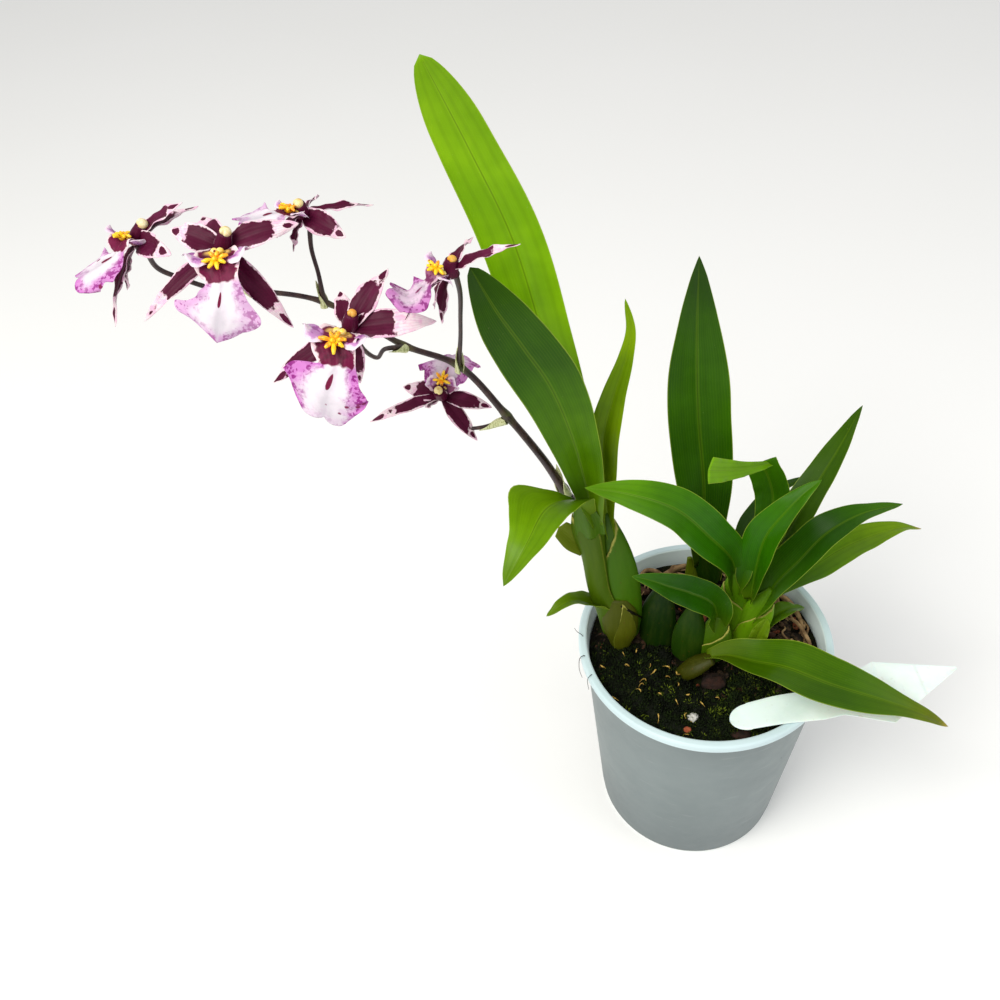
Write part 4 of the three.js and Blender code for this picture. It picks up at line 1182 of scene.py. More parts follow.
def make_tepals(number, bloom, rng):
    heart = np.array(bloom["at"], float)
    face = np.array(bloom["face"], float)
    parts = []
    for order, (*tip, width) in enumerate(bloom["tips"]):
        tip = np.array(tip, float)
        length = np.linalg.norm(tip - heart)
        rise = face * 0.08 * length
        path = [heart, heart + 0.35 * (tip - heart) + rise, heart + 0.7 * (tip - heart) + rise, tip]
        widths = TEPAL_WIDTHS * width
        reach, margin = 0.66 + 0.1 * rng.random(), 0.1 + 0.12 * rng.random()
        blotch = 0.85 + 0.05 * rng.random()
        if order in bloom.get("pale", ()):
            reach, blotch = PALE_FROM, PAST_TIP
        turn = rng.uniform(-1, 1)
        parts.append(blade(
            path, widths, **TEPAL_SHAPE, face=face, waves=1.6 + 0.8 * rng.random(), phase=6 * rng.random(),
            roll=(0, 8 * turn, 24 * turn), marks=(reach, margin, blotch, 0),
        ))
    up = np.array(bloom["cap"], float)
    foot = heart - unit(face) * OVARY
    top = heart + 0.8 * (up - heart)
    parts.append(stem([foot, heart, top], (1.3, 2.7, 2.1), sides=24, stations=20, marks=(2, 0, 0, 0)))
    return make_piece(f"bloom_{number}_petals", parts, TEPAL_SKIN, "tepals", f"bloom_{number}_tepals")


reaches = []
for bloom in BLOOMS.values():
    reaches += [np.linalg.norm(np.subtract(tip[:3], bloom["at"])) for tip in bloom["tips"]]
print("tepals are", round(min(reaches)), "to", round(max(reaches)), "mm long")

# %% [markdown]
# ### Lip and side lobes
# The lip is a blade too, with a narrow waist under the crest and a broad ruffled skirt that ends in two round
# lobes. On bloom 2 it ends in a point. Two small side lobes turn up beside the crest. The lip's widths are
# given at even steps along it, for each side, so that a skirt seen from the side can be narrower on one.


# %% Lip
LIP_LENGTH = 37
FAN = (5, 11, 14, 13.5, 11.5, 11, 20, 27, 30, 30.5, 29.5, 27, 23)
NARROW = (5, 11, 14, 13.5, 11.5, 11, 15, 20, 23, 24, 23.5, 21.5, 18)
BROAD = (9, 15, 20, 24, 28, 31, 34, 37, 39, 39, 37, 33, 28)
LIP_SHAPES = {
    1: dict(widths=FAN, other=FAN),
    2: dict(widths=(5, 11, 14.5, 14.5, 12.5, 11.5, 14.5, 20, 27, 24, 17, 12, 6),
            other=(5, 11, 14.5, 14.5, 12.5, 11.5, 13.5, 17, 24, 32, 28, 17, 6)),
    3: dict(widths=np.multiply(FAN, 1.15), other=np.multiply(FAN, 1.15)),
    4: dict(widths=NARROW, other=FAN),
    5: dict(widths=np.multiply(FAN, 0.7), other=np.multiply(FAN, 0.62)),
    6: dict(widths=BROAD, other=BROAD),
}


def lip_side(bloom):
    chord = np.subtract(bloom["lip"][-1], bloom["lip"][0])
    return unit(np.cross(chord, bloom["face"]))


def on_lip(bloom, share):
    """Place on the lip's midline, its three directions there and the lip's scale."""
    curve = curve_through(bloom["lip"])
    place = [v[0] for v in frames(curve, np.array([share]), side=lip_side(bloom))]
    return (*place, curve[2] / LIP_LENGTH)


def make_lip(number, bloom, rng):
    scale = on_lip(bloom, 0)[4]
    shape = {side: np.array(widths) * scale for side, widths in LIP_SHAPES[number].items()}
    end = dict(rounded=0.13) if number == 2 else dict(rounded=0, lobed=(2.6 * scale, 9 * scale))
    left, right, tip = bloom["mottle"]
    flush = bloom.get("flush", 0)
    part = blade(
        bloom["lip"], **shape, **end, fold=(16, 8, -6, -12, -14), side=lip_side(bloom), stations=80, lanes=51,
        thick=0.5, wave=0.8, ruffle=0.9 * scale, waves=3.1, phase=6 * rng.random(), groove=0.3, soft=0.25,
        marks=(left, right, tip, flush), under=(0, 0, 0, 1 - flush),
    )
    skip = bloom.get("skip", 0)
    part[2][:, 1] = skip + (1 - skip) * part[2][:, 1]
    return make_piece(f"bloom_{number}_skirt", [part], LIP_SKIN, "lip", f"bloom_{number}_lip")


print("lips are", [round(curve_through(bloom["lip"])[2]) for bloom in BLOOMS.values()], "mm long")


# %% Side lobes
# Steps of a lobe's midrib, out from the lip, ahead and up, and its widths
LOBE_STEPS = ((2.5, -0.5, 0.2), (5.2, 0.1, 0.9), (7.6, 0.7, 2.2), (9.2, 1.3, 3.8))
LOBE_WIDTHS = np.array((5.5, 9.0, 10.0, 8.0))


def make_lobes(number, bloom):
    """The two side lobes that stand up beside the crest."""
    p, t, b, n, scale = on_lip(bloom, 0.17)
    parts = []
    for side in (-1, 1):
        path = [p + scale * (b * side * out + t * ahead + n * rise) for out, ahead, rise in LOBE_STEPS]
        parts.append(blade(
            path, LOBE_WIDTHS * scale, fold=(10, 5, -20), face=n, stations=28, lanes=19, thick=0.45,
            rounded=0.5, ruffle=0.2, waves=1.4, phase=side, curl=0.25,
        ))
    return make_piece(f"bloom_{number}_side_lobes", parts, LOBE_SKIN, "lip")


print("a side lobe reaches", LOBE_STEPS[-1][0], "mm out on a lip", LIP_LENGTH, "mm long")

# %% Petals of all blooms
rng = np.random.default_rng(BLOOM_SEED)
for number, bloom in BLOOMS.items():
    piece = make_tepals(number, bloom, rng)
    make_lip(number, bloom, rng)
    make_lobes(number, bloom)
print(len(BLOOMS), "blooms, petals of the last with", len(piece.data.polygons), "faces")

# %% [markdown]
# ## Cap and crest
# The anther cap is a small ball with a groove down its front, which makes two lobes. The crest is a ridge on
# the lip with blunt fingers that point outwards, so from the front it looks like a small yellow star. The
# fingers are short stems and all else is made of balls, because these pieces are only a few millimetres
# large.


# %% Balls
def ball(middle, radius, up, front, squash=0.85, groove=0.0, rows=18, sides=28, tone=(1, 1, 1, 1)):
    """A rounded body whose poles lie along up, grooved on the side that front points to."""
    up = unit(up)
    side = unit(np.cross(up, front))
    ahead = np.cross(side, up)
    lat = np.linspace(-np.pi / 2 + 0.12, np.pi / 2 - 0.12, rows)[:, None]
    lon = np.arange(sides)[None, :] / sides * 2 * np.pi
    cut = 1 - groove * np.exp(-((np.minimum(lon, 2 * np.pi - lon) / 0.33) ** 2)) * np.cos(lat) ** 0.5
    flat = radius * np.cos(lat) * cut
    tall = radius * squash * np.sin(lat) * np.ones_like(lon)
    spot = np.asarray(middle, float)
    rings = spot + ahead * (flat * np.cos(lon))[..., None] + side * (flat * np.sin(lon))[..., None]
    rings = rings + up * tall[..., None]
    return part_of(rings.reshape(-1, 3), skin(rings), None, tone)


pea = ball((0, 0, 0), 1.0, (0, 0, 1), (0, -1, 0))
print("a plain ball has", len(pea[0]), "points and", len(pea[1]), "faces")

# %% Caps and crests
# Radius and colour of each cap
CAPS = {1: (2.0, "#f2e7bd"), 2: (1.9, "#f1e6b8"), 3: (1.8, "#efe0a6"), 4: (1.5, "#e9a23a"),
        5: (1.5, "#eaa83c"), 6: (1.7, "#f0dfa4")}
# Fingers of a crest: how far each is turned from the way the lip runs, how long and how steep it is
FINGERS = [
    (0, 4.6, 0.1), (40, 3.8, 0.2), (-48, 4.0, 0.2), (92, 4.2, 0.25), (-96, 4.2, 0.25), (150, 3.0, 0.8),
    (-145, 3.2, 0.8), (15, 2.6, 1.6),
]
FINGER_RADII = np.array((0.9, 0.62, 0.72, 0.4))
YELLOW, ORANGE, CREAM = paint("#ffc808"), paint("#f59404"), paint("#f4dc96")


def make_crest(number, bloom, rng):
    p, t, b, n, scale = on_lip(bloom, 0.23)
    scale = max(scale, 0.85)
    foot = p + n * 1.2 * scale
    parts = [ball(foot, 1.5 * scale, n, t, tone=ORANGE)]
    for turn, length, steep in FINGERS:
        a = np.radians(turn + rng.uniform(-9, 9))
        way = unit(t * np.cos(a) + b * np.sin(a) + n * steep)
        end = foot + way * length * scale * rng.uniform(0.9, 1.15)
        bend = (foot + end) / 2 + n * 0.5 * scale
        tone = ORANGE if abs(turn) > 100 or rng.random() < 0.25 else YELLOW
        parts.append(stem([foot, bend, end], FINGER_RADII * scale, stations=14, sides=12, tone=tone))
    p, t, b, n, scale = on_lip(bloom, 0.1)
    for side in (-1, 1):
        parts.append(ball(p + n * 1.6 * scale + b * 0.9 * side, 1.2 * scale, n, t, tone=CREAM))
    return make_piece(f"bloom_{number}_teeth", parts, CREST_WAX, "crest", f"bloom_{number}_crest")


def make_cap(number, bloom):
    heart, face = np.array(bloom["at"], float), unit(bloom["face"])
    away = unit(np.subtract(bloom["cap"], heart))
    front = face - away * np.dot(face, away) + 0.2 * np.array([0, -1, 0])
    radius, tone = CAPS[number]
    middle = np.array(bloom["cap"], float) - 0.8 * away
    part = ball(middle, radius, away, front, squash=0.8, groove=0.34, tone=paint(tone))
    return make_piece(f"bloom_{number}_anther", [part], CAP_WAX, "cap", f"bloom_{number}_cap")


rng = np.random.default_rng(BLOOM_SEED + 1)
for number, bloom in BLOOMS.items():
    make_crest(number, bloom, rng)
    piece = make_cap(number, bloom)
print(len(CAPS), "caps and crests, the last cap with", len(piece.data.polygons), "faces")

# %% [markdown]
# ## Node trees
# What follows a path or repeats is grown by Geometry Nodes. `Grower` builds a tree with named inputs, and
# `grow` runs it on a mesh and keeps the result as a plain mesh. A tube runs along a drawn path, as thick as
# the path says. A lathe turns a drawn profile round the pot's axis. A scatter strews a shape over a patch.


# %% A builder for Geometry Nodes
class Grower(Nodes):
    def __init__(self, name, **sizes):
        self.tree = bpy.data.node_groups.new(name, "GeometryNodeTree")
        self.tree.interface.new_socket("Geometry", in_out="INPUT", socket_type="NodeSocketGeometry")
        for label, (kind, value) in sizes.items():
            socket = self.tree.interface.new_socket(label, in_out="INPUT", socket_type="NodeSocket" + kind)
            if value is not None:
                socket.default_value = value
        self.tree.interface.new_socket("Geometry", in_out="OUTPUT", socket_type="NodeSocketGeometry")
        self.start = self.tree.nodes.new("NodeGroupInput")
        self.end = self.tree.nodes.new("NodeGroupOutput")

    def size(self, label):
        return self.start.outputs[label]

    def geometry(self, kind, inputs, output=0, **settings):
        return self.add("GeometryNode" + kind, inputs, output, **settings)

    def random(self, kind, low, high, salt):
        """A random value for each copy; salt keeps one choice apart from the next."""
        seed = self.add("FunctionNodeInputInt", {}, integer=salt)
        seed = self.add("ShaderNodeMath", {0: seed, 1: self.size("Seed")}, operation="ADD")
        # Numbers of the sockets for the lowest value, the highest value and the result
        slots = {"FLOAT": (2, 3, 1), "FLOAT_VECTOR": (0, 1, 0)}[kind]
        names = {slots[0]: low, slots[1]: high, 8: seed}
        return self.add("FunctionNodeRandomValue", names, output=slots[2], data_type=kind)

    def close(self, geometry):
        geometry = self.geometry("SetShadeSmooth", {"Geometry": geometry})
        geometry = self.geometry("RealizeInstances", {"Geometry": geometry})
        geometry = self.geometry("SetMaterial", {"Geometry": geometry, "Material": self.size("Finish")})
        self.tree.links.new(geometry, self.end.inputs[0])
        return self.tree


print("tree builder is ready")

# %% [markdown]
# A tube takes its thickness from the points of its path, so one tree serves spike, roots and hairs. The lathe
# merges the points that meet on the axis before the drills cut the holes, because a cut needs a closed body.
# The scatter gives each copy a turn, a size and a shade by chance, from a seed that is one of its inputs.


# %% Three trees
HALF_TURN = 3.14159


def tube_tree():
    g = Grower("tube along a path", Sides=("Int", 16), Finish=("Material", None))
    curve = g.geometry("MeshToCurve", {"Mesh": g.size("Geometry")})
    ring = g.geometry("CurvePrimitiveCircle", {"Resolution": g.size("Sides"), "Radius": 1.0})
    thick = g.geometry("InputNamedAttribute", {"Name": "thick"}, data_type="FLOAT")
    names = {"Curve": curve, "Profile Curve": ring, "Scale": thick, "Fill Caps": True}
    return g.close(g.geometry("CurveToMesh", names))


def lathe_tree():
    g = Grower("lathe with drain holes", Sides=("Int", 160), Middle=("Float", 0.05), Holes=("Int", 6),
               Circle=("Float", 0.034), Hole=("Float", 0.004), Finish=("Material", None))
    profile = g.geometry("MeshToCurve", {"Mesh": g.size("Geometry")})
    ring = g.geometry("CurvePrimitiveCircle", {"Resolution": g.size("Sides"), "Radius": g.size("Middle")})
    ring = g.geometry("SetCurveNormal", {"Curve": ring}, mode="Z_UP")
    wall = g.geometry("CurveToMesh", {"Curve": ring, "Profile Curve": profile})
    wall = g.geometry("MergeByDistance", {"Geometry": wall, "Distance": 0.00001})
    spots = g.geometry("MeshCircle", {"Vertices": g.size("Holes"), "Radius": g.size("Circle")})
    turned = g.geometry("Transform", {"Geometry": spots, "Rotation": (0.0, 0.0, float(np.pi / 6))})
    drill = g.geometry("MeshCylinder", {"Vertices": 32, "Radius": g.size("Hole"), "Depth": 0.02})
    drills = g.geometry("InstanceOnPoints", {"Points": turned, "Instance": drill})
    drills = g.geometry("RealizeInstances", {"Geometry": drills})
    names = {"Mesh 1": wall, "Mesh 2": drills}
    return g.close(g.geometry("MeshBoolean", names, operation="DIFFERENCE"))


def scatter_tree():
    g = Grower("scatter over a patch", Shape=("Object", None), Density=("Float", 1000.0),
               Smallest=("Float", 0.5), Largest=("Float", 1.0), Tilt=("Float", 0.4), Dark=("Float", 0.0),
               Bright=("Float", 1.0), Seed=("Int", 1), Finish=("Material", None))
    names = {"Mesh": g.size("Geometry"), "Density": g.size("Density"), "Seed": g.size("Seed")}
    spots = g.geometry("DistributePointsOnFaces", names)
    shape = g.geometry("ObjectInfo", {"Object": g.size("Shape")}, output="Geometry")
    back = g.add("ShaderNodeMath", {0: g.size("Tilt"), 1: -1.0}, operation="MULTIPLY")
    low = g.add("ShaderNodeCombineXYZ", {0: back, 1: back, 2: -HALF_TURN})
    high = g.add("ShaderNodeCombineXYZ", {0: g.size("Tilt"), 1: g.size("Tilt"), 2: HALF_TURN})
    turn = g.random("FLOAT_VECTOR", low, high, 11)
    scale = g.random("FLOAT", g.size("Smallest"), g.size("Largest"), 23)
    names = {"Points": spots, "Instance": shape, "Rotation": turn, "Scale": scale}
    copies = g.geometry("InstanceOnPoints", names)
    shade = g.random("FLOAT", g.size("Dark"), g.size("Bright"), 37)
    names = {"Geometry": copies, "Name": "shade", "Value": shade}
    return g.close(g.geometry("StoreNamedAttribute", names, data_type="FLOAT", domain="INSTANCE"))


TUBE, LATHE, SCATTER = tube_tree(), lathe_tree(), scatter_tree()
print("node trees:", TUBE.name + ",", LATHE.name + ",", SCATTER.name)


# %% Growing a piece
def grow(tree, name, points, edges, faces, finish, values, **rows):
    """A mesh of points, edges or faces worked through a tree. rows are attributes of the points."""
    mesh = bpy.data.meshes.new(name)
    mesh.from_pydata((np.asarray(points, float) * MM).tolist(), edges, faces)
    for label, row in rows.items():
        row = np.asarray(row, float)
        kind, field = ("FLOAT", "value") if row.ndim == 1 else ("FLOAT_COLOR", "color")
        mesh.attributes.new(label, kind, "POINT").data.foreach_set(field, row.ravel())
    holder = bpy.data.objects.new(name, mesh)
    bpy.context.scene.collection.objects.link(holder)
    modifier = holder.modifiers.new("grow", "NODES")
    modifier.node_group = tree
    given = dict(values, Finish=finish)
    for item in tree.interface.items_tree:
        if item.in_out == "INPUT" and item.name in given:
            modifier[item.identifier] = given[item.name]
    graph = bpy.context.evaluated_depsgraph_get()
    grown = bpy.data.meshes.new_from_object(holder.evaluated_get(graph), depsgraph=graph)
    holder.modifiers.clear()
    bpy.data.objects.remove(holder)
    grown.name = name
    return bpy.data.objects.new(name, grown)


print("to fill in for a scatter:", [i.name for i in SCATTER.interface.items_tree if i.in_out == "INPUT"])

# %% [markdown]
# ## Flower spike
# The spike leaves the left growth, leans over and ends in a bloom, with a stalk for each of the others. It is
# nearly black, swells a little at each joint, and a pale papery bract clasps it there. Every stalk runs on
# into the ovary behind its bloom. A skin could be stretched over the branching path, but its joints would
# bulge. So the tubes are drawn as paths with a thickness at each point, and one tree grows them all.

# %% The spike
SPIKE = [(-45, 19, 180), (-56, 18, 204), (-64, 16, 222), (-72, 13, 243), (-86, 12, 270), (-102, 14, 294),
         (-121, 16, 304), (-147, 20, 323), (-168, 24, 327), (-186, 30, 326), (-198, 33, 330), (-204, 31, 336)]
STALKS = {
    2: [(-172, 25, 326), (-176, 20, 336), (-173, 11, 348)],
    3: [(-147, 20, 322), (-147, 22, 333), (-148, 25, 342)],
    4: [(-120, 16, 303), (-127, 8, 309), (-129, -2, 313), (-132, -9, 322)],
    5: [(-102, 14, 294), (-100, 8, 310), (-99, 2, 323), (-98, -5, 338)],
    6: [(-86, 12, 268), (-94, 14, 263), (-103, 17, 261), (-108, 21, 264)],
}
JOINTS = [(-64, 15.5, 222), (-86, 12, 269), (-102, 14, 294), (-121, 16, 304), (-147, 20, 322.5),
          (-171, 25, 326.5)]
# Bracts: path, radius, angle of the back
BRACTS = [
    ([(-63, 15.6, 219), (-66, 13.8, 228), (-67.5, 12, 240)], 2.0, -60),
    ([(-86, 12, 267), (-91, 12.8, 265), (-97, 14, 262.4)], 1.35, -90),
    ([(-101.8, 13.6, 292), (-101, 10.8, 300), (-100, 8, 308)], 1.35, -120),
    ([(-146.8, 19.8, 321), (-147, 20.6, 326), (-147.6, 21.4, 331)], 1.25, -150),
    ([(-120.5, 15.4, 303), (-123, 12.5, 305.5), (-126, 9, 308)], 1.25, 90),
    ([(-172, 24.6, 326), (-174, 22.5, 330), (-175.6, 20.5, 334)], 1.2, 60),
]


def ovary_foot(number, sunk=0.6):
    """Where a stalk ends: a little inside the ovary of its bloom."""
    bloom = BLOOMS[number]
    return tuple(np.array(bloom["at"], float) - unit(bloom["face"]) * (OVARY - sunk))


def drawn(path, radii, step=1.2):
    """A path as even points with a thickness at each."""
    curve = curve_through(path)
    s = np.linspace(0, 1, max(6, int(curve[2] / step)))
    points = on_curve(curve, s)[0]
    return points, spread(radii, s)


def tubes(name, paths, finish, sides=16, green=(), tone="#2a1418"):
    """One object of tubes. Each path comes with its radii. Near a point of green it swells and is fresher."""
    points, thick, edges, marks = [], [], [], []
    for path, radii in paths:
        place, size = drawn(path, radii)
        start = sum(len(p) for p in points)
        edges += [(start + i, start + i + 1) for i in range(len(place) - 1)]
        fresh = np.zeros(len(place))
        for joint in green:
            near = np.exp(-((np.linalg.norm(place - np.array(joint), axis=1) / 3.0) ** 2))
            size = size * (1 + 0.35 * near)
            fresh = np.maximum(fresh, 0.5 * near)
        points.append(place)
        thick.append(size)
        marks.append(np.pad(fresh[:, None], ((0, 0), (0, 3))))
    places = np.vstack(points)
    tones = np.tile(paint(tone), (len(places), 1))
    rows = dict(thick=np.hstack(thick) * MM, marks=np.vstack(marks), tone=tones)
    return grow(TUBE, name, places, edges, [], finish, dict(Sides=sides), **rows)


SPIKE_ROOT = [(-38.4, 10.4, 155), (-41, 13.2, 168)]
paths = [(SPIKE_ROOT + SPIKE + [ovary_foot(1)], (1.6, 2.1, 1.7, 1.3, 1.0, 0.9, 0.95))]
for number, path in STALKS.items():
    paths.append((path + [ovary_foot(number)], (1.05, 0.78, 0.8, 1.0)))
spike = tubes("flower_spike_skin", paths, SPIKE_SKIN, green=JOINTS)
settle(spike, "spike", "flower_spike")
print("spike with", len(STALKS), "stalks:", len(spike.data.polygons), "faces")

# %% Bracts
BRACT_SHAPE = dict(flat=(1, 1), opening=(165, 120, 50), off=0.1, thick=0.25, peak=0.35, stations=18, lanes=15,
                   across=0, tone=paint("#d3d6a4"), marks=(0, 1, 0, 0))
bracts = []
for path, radius, middle in BRACTS:
    radii = (radius * 1.1, radius, radius * 0.9, 0.7)
    bracts.append(wrap(path, radii, middle=middle, **BRACT_SHAPE))
piece = make_piece("spike_bracts", bracts, SPIKE_SKIN, "spike")
print(len(bracts), "bracts:", len(piece.data.polygons), "faces")

# %% [markdown]
# ## Pot
# A pot is a body of revolution. It could be built from cylinders and a ring, but then the rim would meet the
# wall in a hard line. Here it is turned on a lathe from one profile: up the outer wall, over the thick rolled
# rim, down the inner wall and across the floor, with small arcs at every turn. Six holes are drilled through
# the floor, and the foot is a low ring.


# %% The pot
def arc(middle, radius, start, end, steps=8):
    a = np.radians(np.linspace(start, end, steps + 1))
    return [(middle[0] + radius * np.cos(q), middle[1] + radius * np.sin(q)) for q in a]


def pot_profile():
    """Points (radius, height) that run once round the wall's section, the outside first."""
    foot, floor = POT_FLOOR["foot_round"], POT_FLOOR["thick"]
    inner = POT["wall_foot"] - POT["wall"]
    top = POT["height"]
    outer = [(0, 0.8), (12, 0.8), (26, 0.8), (40.5, 0.8), (41.3, 0.0)]
    outer += arc((POT["wall_foot"] - foot, foot), foot, -90, 0)
    heights = np.linspace(8, SHOULDER - 1.2, 16)
    outer += [(wall_radius(z), z) for z in heights]
    outer += [(57.0, SHOULDER), (59.2, SHOULDER + 0.05)]
    outer += arc((59.3, SHOULDER + 0.75), 0.7, -90, 0, 5)
    outer += arc((58.7, top - 1.3), 1.3, 0, 90, 8)
    outer += arc((57.2, top - 1.2), 1.2, 90, 180, 6)
    outer += [(55.6, SHOULDER + 0.2), (55.3, SHOULDER - 1.2)]
    outer += [(wall_radius(z) - POT["wall"], z) for z in heights[::-1]]
    outer += arc((inner - foot, floor + foot), foot, 0, -90)
    outer += [(26, floor), (12, floor), (0, floor)]
    return outer


# The lathe turns its profile on a ring of this radius
MIDDLE = 50.0
profile = pot_profile()
points = [(radius - MIDDLE, -z, 0) for radius, z in reversed(profile)]
edges = [(i, i + 1) for i in range(len(points) - 1)]
print("profile of", len(points), "points")
values = dict(Middle=MIDDLE * MM, Circle=POT_FLOOR["circle"] * MM, Hole=POT_FLOOR["hole_radius"] * MM)
values["Holes"] = POT_FLOOR["holes"]
pot = grow(LATHE, "pot_shell", points, edges, [], POT_PLASTIC, values)
pot.data.set_sharp_from_angle(angle=np.radians(SHARP))
settle(pot, "pot", "pot")
print("pot:", len(pot.data.polygons), "faces")

# %% [markdown]
# ## Label
# The label is a thin strip of plastic, round at one end and with an arrow-shaped head at the other. It could
# be cut from a flat plate, but it rests on the rim and the moss and gives a little. So its long edges are
# read from a few stations along a sheet that bends. It is blank.


# %% The label
# The round end: where it starts, how far it reaches, its middle line and half its width
LABEL_END = dict(start=2.2, reach=9.0, middle=-44.9, half=6.6)
# Corners of the outline that need points of their own
LABEL_CORNERS = [42, 52, 73, 92]


def label_outline(x):
    """Lower and upper edge and height of the label's sheet at x."""
    stations = np.array(LABEL_STATIONS, float)
    low, high, level = (np.interp(x, stations[:, 0], stations[:, k]) for k in (1, 2, 3))
    turned = LABEL_END["start"] + LABEL_END["reach"] - x
    half = LABEL_END["half"] * np.sqrt(np.clip(1 - (turned / LABEL_END["reach"]) ** 2, 0.0009, 1))
    low = np.where(turned > 0, LABEL_END["middle"] - half, low)
    high = np.where(turned > 0, LABEL_END["middle"] + half, high)
    return low, high, level


def make_label(lanes=15):
    round_end = LABEL_END["start"] + LABEL_END["reach"] * (1 - np.cos(np.linspace(0, np.pi / 2, 16)))
    length = np.linspace(LABEL_END["start"] + LABEL_END["reach"], LABEL_STATIONS[-1][0], 90)
    x = np.unique(np.r_[round_end, length, LABEL_CORNERS])
    low, high, level = label_outline(x)
    smooth = np.convolve(np.pad(level, 4, mode="edge"), np.ones(9) / 9, mode="valid")
    share = (1 - np.cos(np.linspace(0, np.pi, lanes))) / 2
    y = low[:, None] + (high - low)[:, None] * share
    rim = 1 - 0.55 * np.abs(2 * share - 1) ** 14
    bend = smooth[:, None] + 0.35 * (2 * share - 1) ** 2
    sheets = []
    for side in (1, -1):
        z = bend + side * LABEL_THICK / 2 * rim
        sheets.append(np.stack([np.broadcast_to(x[:, None], y.shape), y, z], -1).reshape(-1, 3))
    return part_of(np.vstack(sheets), sheet_faces(x.size, lanes, flipped=True))


label = make_piece("label_sheet", [make_label()], LABEL_PLASTIC, "label", "plant_label")
label.data.set_sharp_from_angle(angle=np.radians(SHARP))
print("label:", len(label.data.polygons), "faces")

# %% [markdown]
# ## Bed and moss
# The bed is one closed body with a lumpy top that fills the pot. The moss is a cushion over its front. A bed
# of single chips down to the floor would be heavy, and only its top is ever seen. So chips and moss shoots
# are strewn over these two bodies, each with its own shade, and the bed does not look moulded.


# %% Bed and moss cushion
def bed_height(x, y):
    r = np.hypot(x, y) / POT["rim_inner"]
    broad = np.sin(0.33 * x + 1.7) * np.cos(0.29 * y + 0.6)
    lumps = broad + 0.5 * np.sin(0.61 * x - 0.37 * y) * np.cos(0.53 * y + 0.9)
    return BED["level"] + BED["dome"] * (1 - r**2) + BED["relief"] * lumps * (1 - r**6)


def grit(x, y):
    """Small bumps of the mix."""
    bumps = 0.45 * np.sin(1.3 * x + 0.8 * np.sin(0.9 * y)) * np.cos(1.17 * y)
    return bumps + 0.25 * np.sin(2.9 * x - 1.3 * y)


def bed_side(z):
    """Radius of the bed at a height, a little inside the pot's wall."""
    return wall_radius(z) - POT["wall"] - 0.6


def make_bed(around=120, base=2.3, edge_height=119):
    a = np.arange(around) / around * 2 * np.pi
    rings = [(0.5, base), (20, base), (bed_side(base) - 4, base)]
    rings += [(bed_side(z), z) for z in (6, 60, 112)]
    rows = [np.stack([r * np.cos(a), r * np.sin(a), np.full(around, float(z))], 1) for r, z in rings]
    edge = bed_side(edge_height)
    for share in np.r_[1.0, np.linspace(0.985, 0.01, 46)]:
        x, y = edge * share * np.cos(a), edge * share * np.sin(a)
        rows.append(np.stack([x, y, bed_height(x, y) + grit(x, y) * min(1, 8 * (1 - share))], 1))
    stack = np.stack(rows)
    return part_of(stack.reshape(-1, 3), skin(stack))


def moss_height(a, v):
    """Place on the moss cushion at an angle and a share from its inner to its outer edge."""
    level = BED["level"]
    wander = 1 + 0.14 * np.sin(3.1 * a) + 0.1 * np.sin(7.3 * a)
    inner = MOSS["inner"] * wander
    outer = wall_radius(level) - POT["wall"] - 0.8
    r = inner + (outer - inner) * v
    x, y = r * np.cos(a), r * np.sin(a)
    turn = (np.degrees(a) - MOSS["start"]) / (MOSS["end"] - MOSS["start"])
    ends = np.sqrt(np.clip(np.sin(np.pi * turn), 0, 1))
    tufts = 0.8 * np.sin(0.6 * x + 1.1) * np.cos(0.55 * y) + 0.5 * np.sin(1.3 * x - 1.5 * y)
    thick = (MOSS["thick"] + tufts) * np.sin(np.pi * (0.12 + 0.8 * v)) * ends
    return x, y, bed_height(x, y) + thick


def moss_grid(along=100, across=34):
    a = np.radians(np.linspace(MOSS["start"], MOSS["end"], along))[:, None]
    v = np.linspace(0, 1, across)[None, :]
    return np.stack(np.broadcast_arrays(*moss_height(a, v)), -1)


def make_moss(sunk=1.6):
    top = moss_grid()
    below = top.copy()
    below[..., 2] = bed_height(below[..., 0], below[..., 1]) - sunk
    points = np.vstack([top.reshape(-1, 3), below.reshape(-1, 3)])
    return part_of(points, sheet_faces(*top.shape[:2]))


bed = make_piece("bark_mix_body", [make_bed()], BED_MIX, "mix", "bark_mix")
cushion = make_piece("moss_cushion", [make_moss()], MOSS_GREEN, "moss", "moss")
print("bed:", len(bed.data.polygons), "faces, moss:", len(cushion.data.polygons), "faces")

# %% [markdown]
# Each thing strewn over the bed is one small closed shape with few faces, because it is copied hundreds or
# thousands of times. A patch of ground says where the copies may stand.


# %% Shapes to strew
CHIP_SEED, ROOT_SEED, GRAIN_SEED = 7, 31, 9


def shape_of(name, points, faces):
    mesh = bpy.data.meshes.new(name)
    mesh.from_pydata((np.asarray(points, float) * MM).tolist(), [], faces)
    return bpy.data.objects.new(name, mesh)


def chip_shape(rng):
    """A flat, eight-sided splinter of bark, 10 mm long."""
    a = np.arange(8) / 8 * 2 * np.pi
    outline = np.stack([5 * np.cos(a), 2.9 * np.sin(a)], 1) * (0.75 + 0.45 * rng.random((8, 1)))
    rings = []
    for z, share in ((-1.3, 0.75), (-0.6, 1.0), (0.7, 0.95), (1.3, 0.6)):
        rings.append(np.c_[outline * share, z + 0.35 * rng.normal(size=8)])
    stack = np.stack(rings)
    return shape_of("chip", stack.reshape(-1, 3), skin(stack))


